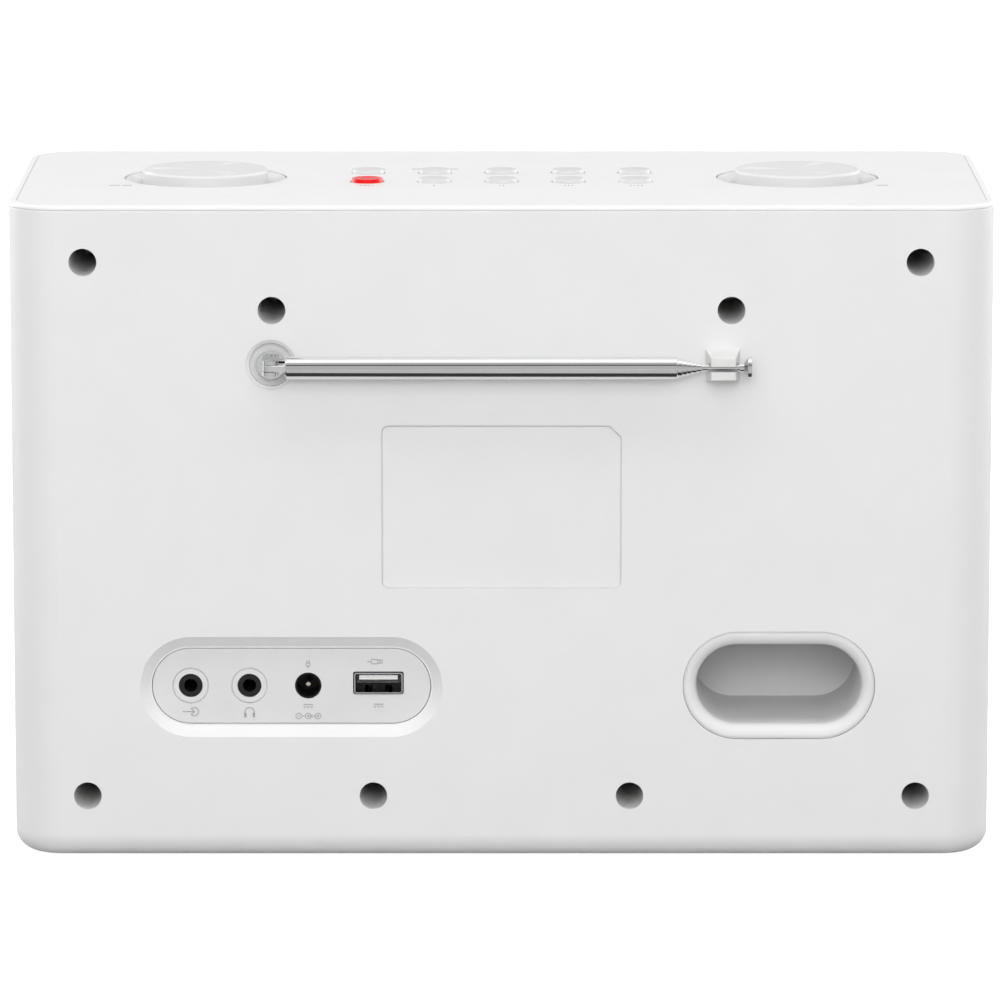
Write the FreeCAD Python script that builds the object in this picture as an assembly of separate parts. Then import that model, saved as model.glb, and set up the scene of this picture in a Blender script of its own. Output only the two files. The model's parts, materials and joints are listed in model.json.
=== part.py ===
import FreeCAD, Part
import math
import os

# A tabletop radio with a telescopic aerial, two turn-and-push knobs and ten push buttons.
#
# Working coordinates, in millimetres: x runs across the cabinet, positive to the right when it is
# seen from the front. y is 0 on the rear face and negative towards the front. z is HEIGHT on the
# top face and TABLE_Z on the table. export() moves every piece into the part's own frame, whose
# origin is on the table under the middle of the whole object, with +Z up and the front facing -Y.

V = FreeCAD.Vector
TINY = 1e-6
PAST = 1.0              # how far a cutting tool runs past the face it cuts

# ---- cabinet ----
WIDTH = 265.0
HEIGHT = 177.0
UNDERSIDE_Z = -1.3
DEPTH = 118.0
CORNER_R = 13.0         # upright corners
BASE_R = 6.0            # edges round the underside
WALL = 2.5
SEAM_DROP = 1.2         # height of the top cover's visible edge
SEAM_Z = HEIGHT - SEAM_DROP
HOUSING_EDGE_R = 0.6    # top edge of the housing, below the seam
COVER_EDGE_R = 0.9      # top edge of the cover
FRONT_DEPTH = 14.0      # depth of the front panel's sides
FRONT_SEAM_Y = FRONT_DEPTH - DEPTH
CAVITY_Y = WALL - DEPTH

# ---- feet ----
FOOT_R = 7.0
TABLE_Z = -2.0          # what the feet stand on
FOOT_POCKET = 0.8
FOOT_SITES = [(x, y) for x in (-105.0, 105.0) for y in (-92.0, -22.0)]

# ---- housing screws, each at the bottom of a deep well in the rear face ----
WELL_SITES = [(112.1, 161.7), (61.6, 148.7), (112.1, 15.8), (34.7, 15.8)]
WELL_SITES += [(-x, z) for x, z in WELL_SITES]
WELL_R = 3.75
WELL_WALL = 1.75
WELL_DEPTH = 45.0
WELL_FLOOR = 3.0
SCREW_R = 1.5
SCREW_HOLE_R = 1.6
SCREW_PILOT_R = 1.55
SCREW_HEAD_R = 2.9
SCREW_HEAD_T = 2.4
SCREW_LENGTH = 15.0
PILLAR_R = 4.5

# ---- small screws that hold boards, speakers and the baffle ----
SMALL_R = 1.2
SMALL_PILOT_R = 1.25
SMALL_HOLE_R = 1.4
SMALL_HEAD_R = 2.2
SMALL_HEAD_T = 1.6
SMALL_LENGTH = 8.0
SMALL_PILOT_DEPTH = 8.6

# ---- shallow rectangular label recess in the rear face ----
LABEL_X = 32.3
LABEL_Z = (72.9, 117.5)
LABEL_DEPTH = 0.8
LABEL_GROOVE = 0.3      # width and depth of the fine groove round its floor
LABEL_R = 2.0
LABEL_CHAMFER = 3.2

# ---- socket bay and sockets ----
BAY_X = 56.8
BAY_Z = 45.9
BAY_MOUTH = (81.7, 27.6)
BAY_FLOOR = (76.4, 21.7)
BAY_FLOOR_Z = 45.75
BAY_LEDGE = 0.4         # rim of the bay's floor round the socket panel
BAY_DEPTH = 2.4
BAY_BOSS_WALL = 2.0
BAY_BOSS_DEPTH = 6.0
PANEL_GAP = 0.15        # hairline gap round inserted panels
SOCKET_FACE_Y = -2.6
SOCKET_PANEL_T = 1.8
SOCKET_PANEL_GAP = 0.2
SOCKET_Z = 45.8
AUX_X = 84.1
HEADPHONE_X = 68.2
JACK_RING_R = 4.95
JACK_RING_WIDTH = 0.35
JACK_RING_DEPTH = 0.5
JACK_BUSH_R = 3.1
JACK_BORE_R = 1.8
JACK_FACE_Y = -2.8
JACK_BORE_LENGTH = 14.2
JACK_BODY = (8.4, 13.4, 10.9)
DC_X = 52.3
DC_BARREL_R = 3.45
DC_BORE_R = 3.15
DC_PIN_R = 1.0
DC_PIN_NOSE_R = 0.7
DC_PIN_SET_BACK = 1.4
DC_DEPTH = 10.3
DC_BODY = (9.2, 14.4, 11.0)
USB_X = 33.3
USB_Z = 46.5
USB_OUTER = (13.1, 5.7)
USB_GAP = 0.3
USB_SHEET = 0.3
USB_DEPTH = 15.7
USB_FACE_Y = -2.3
USB_TONGUE = (10.4, 1.25)
USB_TONGUE_Z = 1.4      # height of the tongue's middle above the socket's middle
USB_TONGUE_SET_BACK = 1.2
USB_BLOCK_T = 3.0
USB_CONTACT_X = (-3.5, -1.0, 1.0, 3.5)
USB_CONTACT_HALF = 0.5
USB_CONTACT_REACH = (10.0, 2.2)
USB_CONTACT_T = 0.2

# ---- bass port ----
PORT_X = -75.0
PORT_Z = 46.3
PORT_RING = (50.7, 28.3)
PORT_BORE = (44.6, 21.8)
PORT_LIP_R = 2.9
PORT_GAP = 0.65         # width of the shallow groove round the port
PORT_GROOVE = 0.5       # depth of that groove
PORT_WALL = 2.0
PORT_DEPTH = 40.0
PORT_TURN = 20.0        # depth, front to back, of the duct's upward turn
PORT_TOP_Z = 84.0
PORT_FLANGE = 3.0
PORT_FLANGE_T = 2.0
PORT_JOINT_Y = PORT_TURN + PORT_WALL - PORT_DEPTH     # where the mouth meets the elbow

# ---- top cover and inlaid panel ----
COVER_FLOOR_Z = 174.0   # underside of the cover
COVER_CLEARANCE = 0.2
INLAY_INSET = 2.0
INLAY_R = 12.0
INLAY_T = 0.8

# ---- knobs ----
KNOB_X = 81.4
KNOB_Y = -59.8
KNOB_R = 17.25
KNOB_TOP_Z = 179.4
KNOB_BOTTOM_Z = 175.6
KNOB_EDGE_R = 0.8
KNOB_PLATE_T = 2.2
KNOB_SKIRT = 1.7
HUB_R = 5.5
HUB_BOTTOM_Z = 168.0
SCOOP_COUNT = 3
SCOOP_FROM = 1.6        # distance from the knob's axis where a scoop starts
SCOOP_WIDEST = 12.8
SCOOP_TO = 16.4
SCOOP_RADIUS = 4.5      # cross-section radius of a scoop at its widest
SCOOP_DEPTH = 0.8
WELL_CUP_R = 21.95
DISH_R = 22.35          # opening in the top panel round each knob
CUP_RIM_Z = HEIGHT - 0.35
CUP_MOUTH_R = 21.2
CUP_FLOOR_R = 18.4      # the dish narrows to this at its floor
CUP_FLOOR_EDGE_R = 0.45
CUP_FLOOR_Z = 174.6
CUP_UNDER_Z = 172.8
CUP_FLANGE_R = 25.0
CUP_HOLE_R = 6.5
KNOB_TRAVEL = 0.6

# ---- encoders ----
ENCODER_BODY = (12.5, 13.5, 6.5)
ENCODER_COLLAR_R = 4.2
ENCODER_COLLAR_T = 0.9
SHAFT_R = 3.0
RUNNING_GAP = 0.05      # radial clearance of a shaft or tube in its hole
SHAFT_BOTTOM_Z = 161.6
SHAFT_TOP_Z = 176.0
SHAFT_FLAT_FROM_Z = 169.0
SHAFT_FLAT = 1.6        # distance of the D flat from the axis
PLUNGER_R = 2.8
PLUNGER_T = 0.6

# ---- buttons ----
BUTTON_PITCH = 18.4
BUTTON_COLUMNS = [BUTTON_PITCH * step for step in (2, 1, 0, -1, -2)]
BUTTON_ROWS = {"rear": -50.5, "front": -69.5}
BUTTON_R = 4.45
BUTTON_TOP_R = 4.1
BUTTON_RISE = 1.0
BUTTON_DISH_R = 3.6
BUTTON_DISH_DEPTH = 0.4
BUTTON_HOLE_R = 4.75
BUTTON_FLANGE_R = 5.4
BUTTON_FLANGE_Z = (172.6, 173.6)
BUTTON_STEM_R = 1.5
BUTTON_TRAVEL = 0.5
SWITCH_BODY = (6.0, 6.0, 3.5)
SWITCH_PLUNGER_R = 1.7
SWITCH_PLUNGER_T = 0.6

# ---- control board under the top cover ----
BOARD_T = 1.6
CONTROL_BOARD_X = 105.0
CONTROL_BOARD_Y = (-82.0, -38.0)
CONTROL_TOP_Z = 159.6
CONTROL_POSTS = [(x, y) for x in (-50.0, 50.0) for y in (-78.0, -42.0)]
POST_R = 3.0

# ---- main board behind the sockets ----
MAIN_BOARD_X = (-30.0, 102.0)
MAIN_BOARD_Y = (-60.0, -8.0)
MAIN_TOP_Z = 40.5
MAIN_POSTS = [(x, y) for x in (-22.0, 96.0) for y in (-54.0, -14.0)]
TUNER_X = (-16.0, 22.0)
TUNER_Y = (-38.0, -12.0)
TUNER_HEIGHT = 5.2

# ---- front ----
GRILLE_X = (44.0, 116.0)
GRILLE_Z = (13.0, 163.0)
GRILLE_R = 10.0
GRILLE_RECESS = 0.6
GRILLE_SHEET = 1.0
OPENING_EDGE_R = 0.8
WINDOW_X = 36.0
WINDOW_Z = (92.0, 150.0)
WINDOW_R = 3.0
WINDOW_T = 2.0
WINDOW_RECESS = 0.4
MODULE_X = 33.0
MODULE_Z = (96.0, 146.0)
MODULE_FLANGE_X = 36.5
MODULE_FLANGE_Z = (90.0, 152.0)
MODULE_FLANGE_T = 1.6
BAFFLE_Y = (-112.0, -108.0)
BAFFLE_X = 126.5
BAFFLE_Z = (3.2, 172.0)
BAFFLE_R = 6.0
BAFFLE_WINDOW_X = 34.0
BAFFLE_WINDOW_Z = (95.0, 147.0)
BAFFLE_SCREWS = [(x, z) for x in (-90.0, 0.0, 90.0) for z in (7.8, 168.5)]
BAFFLE_BOSS_R = 3.2

# ---- speakers ----
SPEAKER_X = 80.0
SPEAKER_Z = 93.0
SPEAKER_HOLE_R = 36.5
FRAME_R = 42.0
FRAME_FLANGE_T = 2.5
FRAME_INNER_R = 36.0
FRAME_NECK_R = 22.0
FRAME_NECK_Y = -86.0
FRAME_SHEET = 1.2
FRAME_BACK_T = 1.5
FRAME_WINDOWS = 4
COIL_HOLE_R = 14.4
SPEAKER_SCREW_R = 39.5
MAGNET_R = 25.0
MAGNET_T = 14.0
COIL_GAP = (12.4, 14.4)
COIL_GAP_DEPTH = 11.0
COIL_R = (12.95, 13.6)
COIL_END_Y = -78.5
CONE_R = 31.0
CONE_NECK_Y = -89.0
CONE_FRONT_Y = -106.0
CONE_SHEET = 0.8
SURROUND_ROLL_R = 2.2
DUST_CAP_RISE = 4.5

# ---- aerial ----
AERIAL_X = 61.85
AERIAL_Z = 134.0
AERIAL_Y = 5.0          # the stowed tube's axis stands this far behind the rear face
AERIAL_RECESS = [(6.75, 0.8), (5.95, 2.6)]
AERIAL_BOSS_R = 9.0
AERIAL_BOSS_DEPTH = 5.6
SWIVEL_R = 4.05
SWIVEL_FACE_Y = 0.5
SWIVEL_BACK_Y = -2.5
SHANK_R = 2.5
SHANK_END_Y = -6.0
EAR_R = 2.2
EAR_T = 1.05
TONGUE_T = 1.8
TONGUE_GAP = 0.1
TONGUE_R = 2.2
PIN_R = 0.9
PIN_HEAD_R = 1.35
PIN_HEAD_T = 0.2
AERIAL_SCREW_R = 1.2
AERIAL_WASHER_R = 4.4
AERIAL_WASHER_T = 0.8
TUBE_RADII = [3.1, 2.6, 2.25, 1.9, 1.55, 1.2]
TUBE_ENDS = [-47.05, -48.45, -49.65, -50.85, -52.25, -53.55]
TUBE_START_X = 57.75
TUBE_PLUG = 5.4
TUBE_EDGE = 0.2
STAGE_STEP = 1.0        # each section's inner end is this much further along than the last
ROD_R = 0.85
ROD_END_X = -63.8
FERRULE_R = 1.15
FERRULE_END_X = -64.9
TIP_CONE_R = (1.5, 2.8)
TIP_DISC_X = -65.8
TIP_DISC_R = 3.15
TIP_END_X = -66.95
TIP_EDGE = 0.2

# ---- aerial clip ----
CLIP_X = -59.3
CLIP_BASE = (9.2, 8.7)
CLIP_FRONT = (6.6, 6.0)
CLIP_PROUD = 8.2
CLIP_Z = 134.0
CLIP_CHANNEL_R = 1.3
CLIP_MOUTH = 1.5
CLIP_MOUTH_Y = 6.6
CLIP_STEM = (6.0, 4.6)
CLIP_STEM_DEPTH = 4.5
CLIP_STEM_GAP = 0.15
CLIP_CORNER_R = 0.3
CLIP_EDGE_R = 0.3

# ---- leads inside the cabinet ----
LEAD_R = 0.8
LEAD_BEND_SHARE = 0.45  # part of the shorter run that a bend may use
EYELET_T = 0.35
RIBBON_HALF = 10.0
RIBBON_T = 0.3
RIBBON_Y = -45.0
RIBBON_BOW = 4.0
AERIAL_LEAD_ROUTE = [(61.85, -16.0, 117.0), (50.0, -28.0, 96.0), (30.0, -32.0, 76.0), (8.0, -28.0, 62.0)]
SPEAKER_LEAD_ROUTE = [(55.2, -82.0, 83.0), (49.2, -74.0, 75.0), (34.0, -64.0, 62.0), (26.0, -56.0, 52.0)]

# The clip is what stands furthest out at the rear, so it sets the middle of the whole depth.
REAR_Y = (DEPTH - CLIP_PROUD) / 2


# ---------------------------------------------------------------- helpers

def box(x_range, y_range, z_range):
    """A box between two limits on each axis."""
    size = [b - a for a, b in (x_range, y_range, z_range)]
    return Part.makeBox(*size, V(x_range[0], y_range[0], z_range[0]))


def rod_x(y, z, r, x0, x1):
    """A cylinder along X."""
    return Part.makeCylinder(r, x1 - x0, V(x0, y, z), V(1, 0, 0))


def rod_y(x, z, r, y0, y1):
    """A cylinder along Y."""
    return Part.makeCylinder(r, y1 - y0, V(x, y0, z), V(0, 1, 0))


def rod_z(x, y, r, z0, z1):
    """A cylinder along Z."""
    return Part.makeCylinder(r, z1 - z0, V(x, y, z0), V(0, 0, 1))


def rounded(corners):
    """A closed wire in the XY plane through (x, y, radius) corners."""
    ends = []
    arcs = []
    for i, (x, y, r) in enumerate(corners):
        here = V(x, y, 0)
        back = (V(*corners[i - 1][:2], 0) - here).normalize()
        ahead = (V(*corners[(i + 1) % len(corners)][:2], 0) - here).normalize()
        half = back.getAngle(ahead) / 2
        first = here + back * (r / math.tan(half))
        last = here + ahead * (r / math.tan(half))
        ends.append((first, last))
        if r > 0:
            centre = here + (back + ahead).normalize() * (r / math.sin(half))
            middle = centre + (here - centre).normalize() * r
            arcs.append(Part.Arc(first, middle, last).toShape())
    lines = []
    for i, (first, _) in enumerate(ends):
        start = ends[i - 1][1]
        if (first - start).Length > TINY:
            lines.append(Part.makeLine(start, first))
    return Part.Wire(Part.__sortEdges__(arcs + lines))


def rectangle(x_range, y_range, r):
    """A rounded rectangle as a wire in the XY plane."""
    (x0, x1), (y0, y1) = x_range, y_range
    return rounded([(x0, y0, r), (x1, y0, r), (x1, y1, r), (x0, y1, r)])


def stadium(x, y, size):
    """A slot shape with fully round ends, as a wire in the XY plane."""
    across, up = size[0] / 2, size[1] / 2
    return rectangle((x - across, x + across), (y - up, y + up), up)


def slab_z(wire, z0, z1):
    """An outline in x and y, extruded between two heights."""
    face = Part.Face(wire)
    face.translate(V(0, 0, z0))
    return face.extrude(V(0, 0, z1 - z0))


def upright(wire, y):
    """An outline drawn in x and y, stood up so that its y becomes z, at one depth."""
    stood = wire.copy()
    stood.rotate(V(0, 0, 0), V(1, 0, 0), 90)
    stood.translate(V(0, y, 0))
    return stood


def slab_y(wire, y0, y1):
    """An outline in x and z, extruded between two depths."""
    return Part.Face(upright(wire, y0)).extrude(V(0, y1 - y0, 0))


def loft_y(first, y0, last, y1):
    """A straight-sided solid between two upright outlines."""
    return Part.makeLoft([upright(first, y0), upright(last, y1)], True, True)


def edges_at(shape, axis, value):
    """The edges whose ends both lie in one plane across an axis."""
    found = []
    for edge in shape.Edges:
        places = [getattr(vertex, axis) for vertex in edge.Vertexes]
        if all(abs(place - value) < TINY for place in places):
            found.append(edge)
    return found


def joined(shapes):
    """One solid from touching pieces, with the seams between flush faces removed."""
    return shapes[0].fuse(shapes[1:]).removeSplitter()


def group(shapes):
    """Separate solids that share a node."""
    return Part.makeCompound(shapes)


def screw_y(x, z, y, reach, head_side):
    """A small screw along Y whose head seats at y and whose thread runs away from the head."""
    thread = sorted((y, y - head_side * reach))
    head = sorted((y, y + head_side * SMALL_HEAD_T))
    return joined([rod_y(x, z, SMALL_R, *thread), rod_y(x, z, SMALL_HEAD_R, *head)])


def screw_z(x, y, z, reach, head_side):
    """A small screw along Z, in the same way."""
    thread = sorted((z, z - head_side * reach))
    head = sorted((z, z + head_side * SMALL_HEAD_T))
    return joined([rod_z(x, y, SMALL_R, *thread), rod_z(x, y, SMALL_HEAD_R, *head)])


def bent_path(points):
    """Straight runs joined by tangent arcs, as one wire."""
    points = [V(*p) for p in points]
    edges = []
    start = points[0]
    for before, here, after in zip(points, points[1:], points[2:]):
        back = before - here
        ahead = after - here
        reach = LEAD_BEND_SHARE * min(back.Length, ahead.Length)
        first = here + back.normalize() * reach
        last = here + ahead.normalize() * reach
        half = back.getAngle(ahead) / 2
        centre = here + (back + ahead).normalize() * (reach / math.cos(half))
        middle = centre + (here - centre).normalize() * (reach * math.tan(half))
        edges.append(Part.makeLine(start, first))
        edges.append(Part.Arc(first, middle, last).toShape())
        start = last
    edges.append(Part.makeLine(start, points[-1]))
    return Part.Wire(edges)


def lead(points):
    """A round insulated lead along a path."""
    path = bent_path(points)
    direction = V(*points[1]) - V(*points[0])
    profile = Part.Wire(Part.makeCircle(LEAD_R, V(*points[0]), direction))
    return path.makePipeShell([profile], True, False)


# ---------------------------------------------------------------- cabinet

def cabinet_block(inset, z0, z1, base_r):
    """The cabinet's outline in plan, drawn in by an inset, with a rounded underside."""
    across = WIDTH / 2 - inset
    wire = rectangle((-across, across), (inset - DEPTH, -inset), CORNER_R - inset)
    block = slab_z(wire, z0, z1)
    return block.makeFillet(base_r, edges_at(block, "Z", z0))


def cabinet_shell():
    """Rear housing and front panel together, before they are parted at the front seam."""
    outer = cabinet_block(0, UNDERSIDE_Z, SEAM_Z, BASE_R)
    outer = outer.makeFillet(HOUSING_EDGE_R, edges_at(outer, "Z", SEAM_Z))
    inner = cabinet_block(WALL, UNDERSIDE_Z + WALL, HEIGHT, BASE_R - WALL)
    return outer.cut(inner)


def label_outline():
    """The label recess: rounded corners, and one cut corner at its top."""
    low, high = LABEL_Z
    return rounded([
        (-LABEL_X, low, LABEL_R),
        (LABEL_X, low, LABEL_R),
        (LABEL_X, high, LABEL_R),
        (-LABEL_X + LABEL_CHAMFER, high, 0),
        (-LABEL_X, high - LABEL_CHAMFER, 0),
    ])


def socket_panel_outline(gap):
    """The hole for the socket panel in the bay's floor, drawn in by a gap."""
    size = [span - 2 * (BAY_LEDGE + gap) for span in BAY_FLOOR]
    return stadium(BAY_X, BAY_FLOOR_Z, size)


def housing_additions():
    """Bosses, posts and rims moulded inside the rear housing."""
    inner_face = -WALL / 2
    added = []
    for x, z in WELL_SITES:
        added.append(rod_y(x, z, WELL_R + WELL_WALL, -WELL_DEPTH - WELL_FLOOR, inner_face))
    for x, y in MAIN_POSTS:
        added.append(rod_z(x, y, POST_R, UNDERSIDE_Z + WALL / 2, MAIN_TOP_Z - BOARD_T))
    rim = [size + 2 * BAY_BOSS_WALL for size in BAY_MOUTH]
    added.append(slab_y(stadium(BAY_X, BAY_Z, rim), -BAY_BOSS_DEPTH, inner_face))
    added.append(rod_y(AERIAL_X, AERIAL_Z, AERIAL_BOSS_R, -AERIAL_BOSS_DEPTH, inner_face))
    return added


def housing_cuts():
    """Wells, recesses and holes in the rear housing."""
    cuts = []
    for x, z in WELL_SITES:
        cuts.append(rod_y(x, z, WELL_R, -WELL_DEPTH, PAST))
        cuts.append(rod_y(x, z, SCREW_HOLE_R, -WELL_DEPTH - WELL_FLOOR - PAST, -WELL_DEPTH + PAST))
    for x, y in MAIN_POSTS:
        top = MAIN_TOP_Z - BOARD_T
        cuts.append(rod_z(x, y, SMALL_PILOT_R, top - SMALL_PILOT_DEPTH, top + PAST))
    bay_floor = stadium(BAY_X, BAY_FLOOR_Z, BAY_FLOOR)
    cuts.append(loft_y(bay_floor, -BAY_DEPTH, stadium(BAY_X, BAY_Z, BAY_MOUTH), 0))
    cuts.append(slab_y(socket_panel_outline(0), -BAY_BOSS_DEPTH - PAST, TINY - BAY_DEPTH))
    for r, depth in AERIAL_RECESS:
        cuts.append(rod_y(AERIAL_X, AERIAL_Z, r, -depth, PAST))
    cuts.append(rod_y(AERIAL_X, AERIAL_Z, SHANK_R + RUNNING_GAP, -AERIAL_BOSS_DEPTH - PAST, 0))
    ring = [size + 2 * PORT_GAP for size in PORT_RING]
    cuts.append(slab_y(stadium(PORT_X, PORT_Z, ring), -WALL - PAST, PAST))
    label = label_outline()
    label_floor = label.makeOffset2D(-LABEL_GROOVE)
    cuts.append(slab_y(label, -LABEL_DEPTH, PAST))
    groove = slab_y(label, -LABEL_DEPTH - LABEL_GROOVE, -LABEL_DEPTH)
    cuts.append(groove.cut(slab_y(label_floor, -WALL, PAST)))
    across, up = [size / 2 + CLIP_STEM_GAP for size in CLIP_STEM]
    stem_x = (CLIP_X - across, CLIP_X + across)
    stem_z = (CLIP_Z - up, CLIP_Z + up)
    cuts.append(box(stem_x, (-WALL - PAST, PAST), stem_z))
    for x, y in FOOT_SITES:
        cuts.append(rod_z(x, y, FOOT_R, TABLE_Z, UNDERSIDE_Z + FOOT_POCKET))
    return cuts


def rear_housing():
    """The tub: rear wall, both sides and the underside in one moulding."""
    behind = box((-WIDTH, WIDTH), (FRONT_SEAM_Y, PAST), (TABLE_Z, HEIGHT))
    tub = cabinet_shell().common(behind)
    return joined([tub] + housing_additions()).cut(housing_cuts()).removeSplitter()


def grille_outline(side, gap):
    """One speaker opening, drawn in by a gap. side is 1 for +x and -1 for -x."""
    x_range = sorted((side * (GRILLE_X[0] + gap), side * (GRILLE_X[1] - gap)))
    return rectangle(x_range, (GRILLE_Z[0] + gap, GRILLE_Z[1] - gap), GRILLE_R - gap)


def window_outline(gap):
    """The display opening, drawn in by a gap."""
    across = WINDOW_X - gap
    return rectangle((-across, across), (WINDOW_Z[0] + gap, WINDOW_Z[1] - gap), WINDOW_R - gap)


def front_panel():
    """The front moulding, with two speaker openings and a display opening."""
    ahead = box((-WIDTH, WIDTH), (-DEPTH - PAST, FRONT_SEAM_Y), (TABLE_Z, HEIGHT))
    panel = cabinet_shell().common(ahead)
    openings = [grille_outline(-1, 0), grille_outline(1, 0), window_outline(0)]
    panel = panel.cut([slab_y(wire, -DEPTH - PAST, CAVITY_Y + PAST) for wire in openings])
    flat_edge = WIDTH / 2 - CORNER_R
    low = UNDERSIDE_Z + BASE_R + TINY
    high = SEAM_Z - HOUSING_EDGE_R - TINY
    rims = []
    for edge in edges_at(panel, "Y", -DEPTH):
        middle = edge.CenterOfMass
        if abs(middle.x) < flat_edge - TINY and low < middle.z < high:
            rims.append(edge)
    panel = panel.makeFillet(OPENING_EDGE_R, rims)
    bosses = []
    pilots = []
    for x, z in BAFFLE_SCREWS:
        bosses.append(rod_y(x, z, BAFFLE_BOSS_R, CAVITY_Y - WALL / 2, BAFFLE_Y[0]))
        pilots.append(rod_y(x, z, SMALL_PILOT_R, CAVITY_Y, BAFFLE_Y[0] + PAST))
    return joined([panel] + bosses).cut(pilots)


def grille(side):
    """A shallow pressed tray, whose rim is held between the front panel and the baffle."""
    face_y = -DEPTH + GRILLE_RECESS
    face = slab_y(grille_outline(side, PANEL_GAP), face_y, BAFFLE_Y[0])
    hollow = slab_y(grille_outline(side, PANEL_GAP + GRILLE_SHEET), face_y + GRILLE_SHEET, BAFFLE_Y[0] + PAST)
    return face.cut(hollow)


def speaker_baffle():
    """The inner board that carries the speakers, with a pillar for each housing screw."""
    board = slab_y(rectangle((-BAFFLE_X, BAFFLE_X), BAFFLE_Z, BAFFLE_R), *BAFFLE_Y)
    pieces = [board]
    for x, z in WELL_SITES:
        pieces.append(rod_y(x, z, PILLAR_R, BAFFLE_Y[1] - PAST, -WELL_DEPTH - WELL_FLOOR))
    cuts = []
    through = (BAFFLE_Y[0] - PAST, BAFFLE_Y[1] + PAST)
    for x, z in WELL_SITES:
        end = -WELL_DEPTH - WELL_FLOOR
        cuts.append(rod_y(x, z, SCREW_PILOT_R, end - SCREW_LENGTH, end + PAST))
    for side in (-1, 1):
        cuts.append(rod_y(side * SPEAKER_X, SPEAKER_Z, SPEAKER_HOLE_R, *through))
    for x, z in speaker_screw_sites():
        cuts.append(rod_y(x, z, SMALL_PILOT_R, *through))
    for x, z in BAFFLE_SCREWS:
        cuts.append(rod_y(x, z, SMALL_HOLE_R, *through))
    opening = rectangle((-BAFFLE_WINDOW_X, BAFFLE_WINDOW_X), BAFFLE_WINDOW_Z, WINDOW_R)
    cuts.append(slab_y(opening, *through))
    return joined(pieces).cut(cuts)


def display_window():
    """The clear window over the display."""
    outer = -DEPTH + WINDOW_RECESS
    return slab_y(window_outline(PANEL_GAP), outer, outer + WINDOW_T)


def display_module():
    """The display: its glass and frame in front of a mounting flange behind the baffle."""
    front = -DEPTH + WINDOW_RECESS + WINDOW_T
    glass = box((-MODULE_X, MODULE_X), (front, BAFFLE_Y[1]), MODULE_Z)
    flange_y = (BAFFLE_Y[1], BAFFLE_Y[1] + MODULE_FLANGE_T)
    flange = box((-MODULE_FLANGE_X, MODULE_FLANGE_X), flange_y, MODULE_FLANGE_Z)
    return joined([glass, flange])


def rubber_feet():
    """Four round feet, let into shallow pockets in the underside."""
    feet = []
    for x, y in FOOT_SITES:
        foot = rod_z(x, y, FOOT_R, TABLE_Z, UNDERSIDE_Z + FOOT_POCKET)
        feet.append(foot.makeChamfer(FOOT_POCKET / 2, edges_at(foot, "Z", TABLE_Z)))
    return group(feet)


# ---------------------------------------------------------------- top

def top_cover():
    """The cover: a thin visible edge over the housing and a floor that drops inside it."""
    across = WIDTH / 2
    rim_wire = rectangle((-across, across), (-DEPTH, 0), CORNER_R)
    rim = slab_z(rim_wire, SEAM_Z, HEIGHT)
    rim = rim.makeFillet(COVER_EDGE_R, edges_at(rim, "Z", HEIGHT))
    inset = WALL + COVER_CLEARANCE
    floor_wire = rectangle((inset - across, across - inset), (inset - DEPTH, -inset), CORNER_R - inset)
    floor = slab_z(floor_wire, COVER_FLOOR_Z, SEAM_Z + TINY)
    posts = [rod_z(x, y, POST_R, CONTROL_TOP_Z, COVER_FLOOR_Z + PAST) for x, y in CONTROL_POSTS]
    cover = joined([rim, floor] + posts)
    across -= INLAY_INSET
    pocket = rectangle((-across, across), (INLAY_INSET - DEPTH, -INLAY_INSET), INLAY_R)
    cuts = [slab_z(pocket, HEIGHT - INLAY_T, HEIGHT + PAST)]
    cuts += top_openings(COVER_FLOOR_Z)
    for x, y in CONTROL_POSTS:
        cuts.append(rod_z(x, y, SMALL_PILOT_R, CONTROL_TOP_Z - PAST, CONTROL_TOP_Z + SMALL_PILOT_DEPTH))
    return cover.cut(cuts)


def top_openings(floor_z):
    """Tools for the knob dishes and button holes."""
    tools = [rod_z(x, KNOB_Y, DISH_R, floor_z - PAST, HEIGHT + PAST) for x in (-KNOB_X, KNOB_X)]
    for y in BUTTON_ROWS.values():
        for x in BUTTON_COLUMNS:
            tools.append(rod_z(x, y, BUTTON_HOLE_R, floor_z - PAST, HEIGHT + PAST))
    return tools


def top_panel():
    """The inlaid sheet that covers the top inside a hairline gap."""
    inset = INLAY_INSET + PANEL_GAP
    across = WIDTH / 2 - inset
    wire = rectangle((-across, across), (inset - DEPTH, -inset), INLAY_R - PANEL_GAP)
    return slab_z(wire, HEIGHT - INLAY_T, HEIGHT).cut(top_openings(HEIGHT - INLAY_T))


def knob_wells():
    """The two round dishes that the knobs turn in."""
    wells = []
    for x in (-KNOB_X, KNOB_X):
        cup = rod_z(x, KNOB_Y, WELL_CUP_R, CUP_UNDER_Z, CUP_RIM_Z)
        flange = rod_z(x, KNOB_Y, CUP_FLANGE_R, CUP_UNDER_Z, COVER_FLOOR_Z)
        depth = CUP_RIM_Z - CUP_FLOOR_Z
        hollow = Part.makeCone(CUP_FLOOR_R, CUP_MOUTH_R, depth, V(x, KNOB_Y, CUP_FLOOR_Z))
        hollow = hollow.makeFillet(CUP_FLOOR_EDGE_R, edges_at(hollow, "Z", CUP_FLOOR_Z))
        hole = rod_z(x, KNOB_Y, CUP_HOLE_R, CUP_UNDER_Z - PAST, CUP_FLOOR_Z + PAST)
        wells.append(joined([cup, flange]).cut([hollow, hole]))
    return group(wells)


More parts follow.
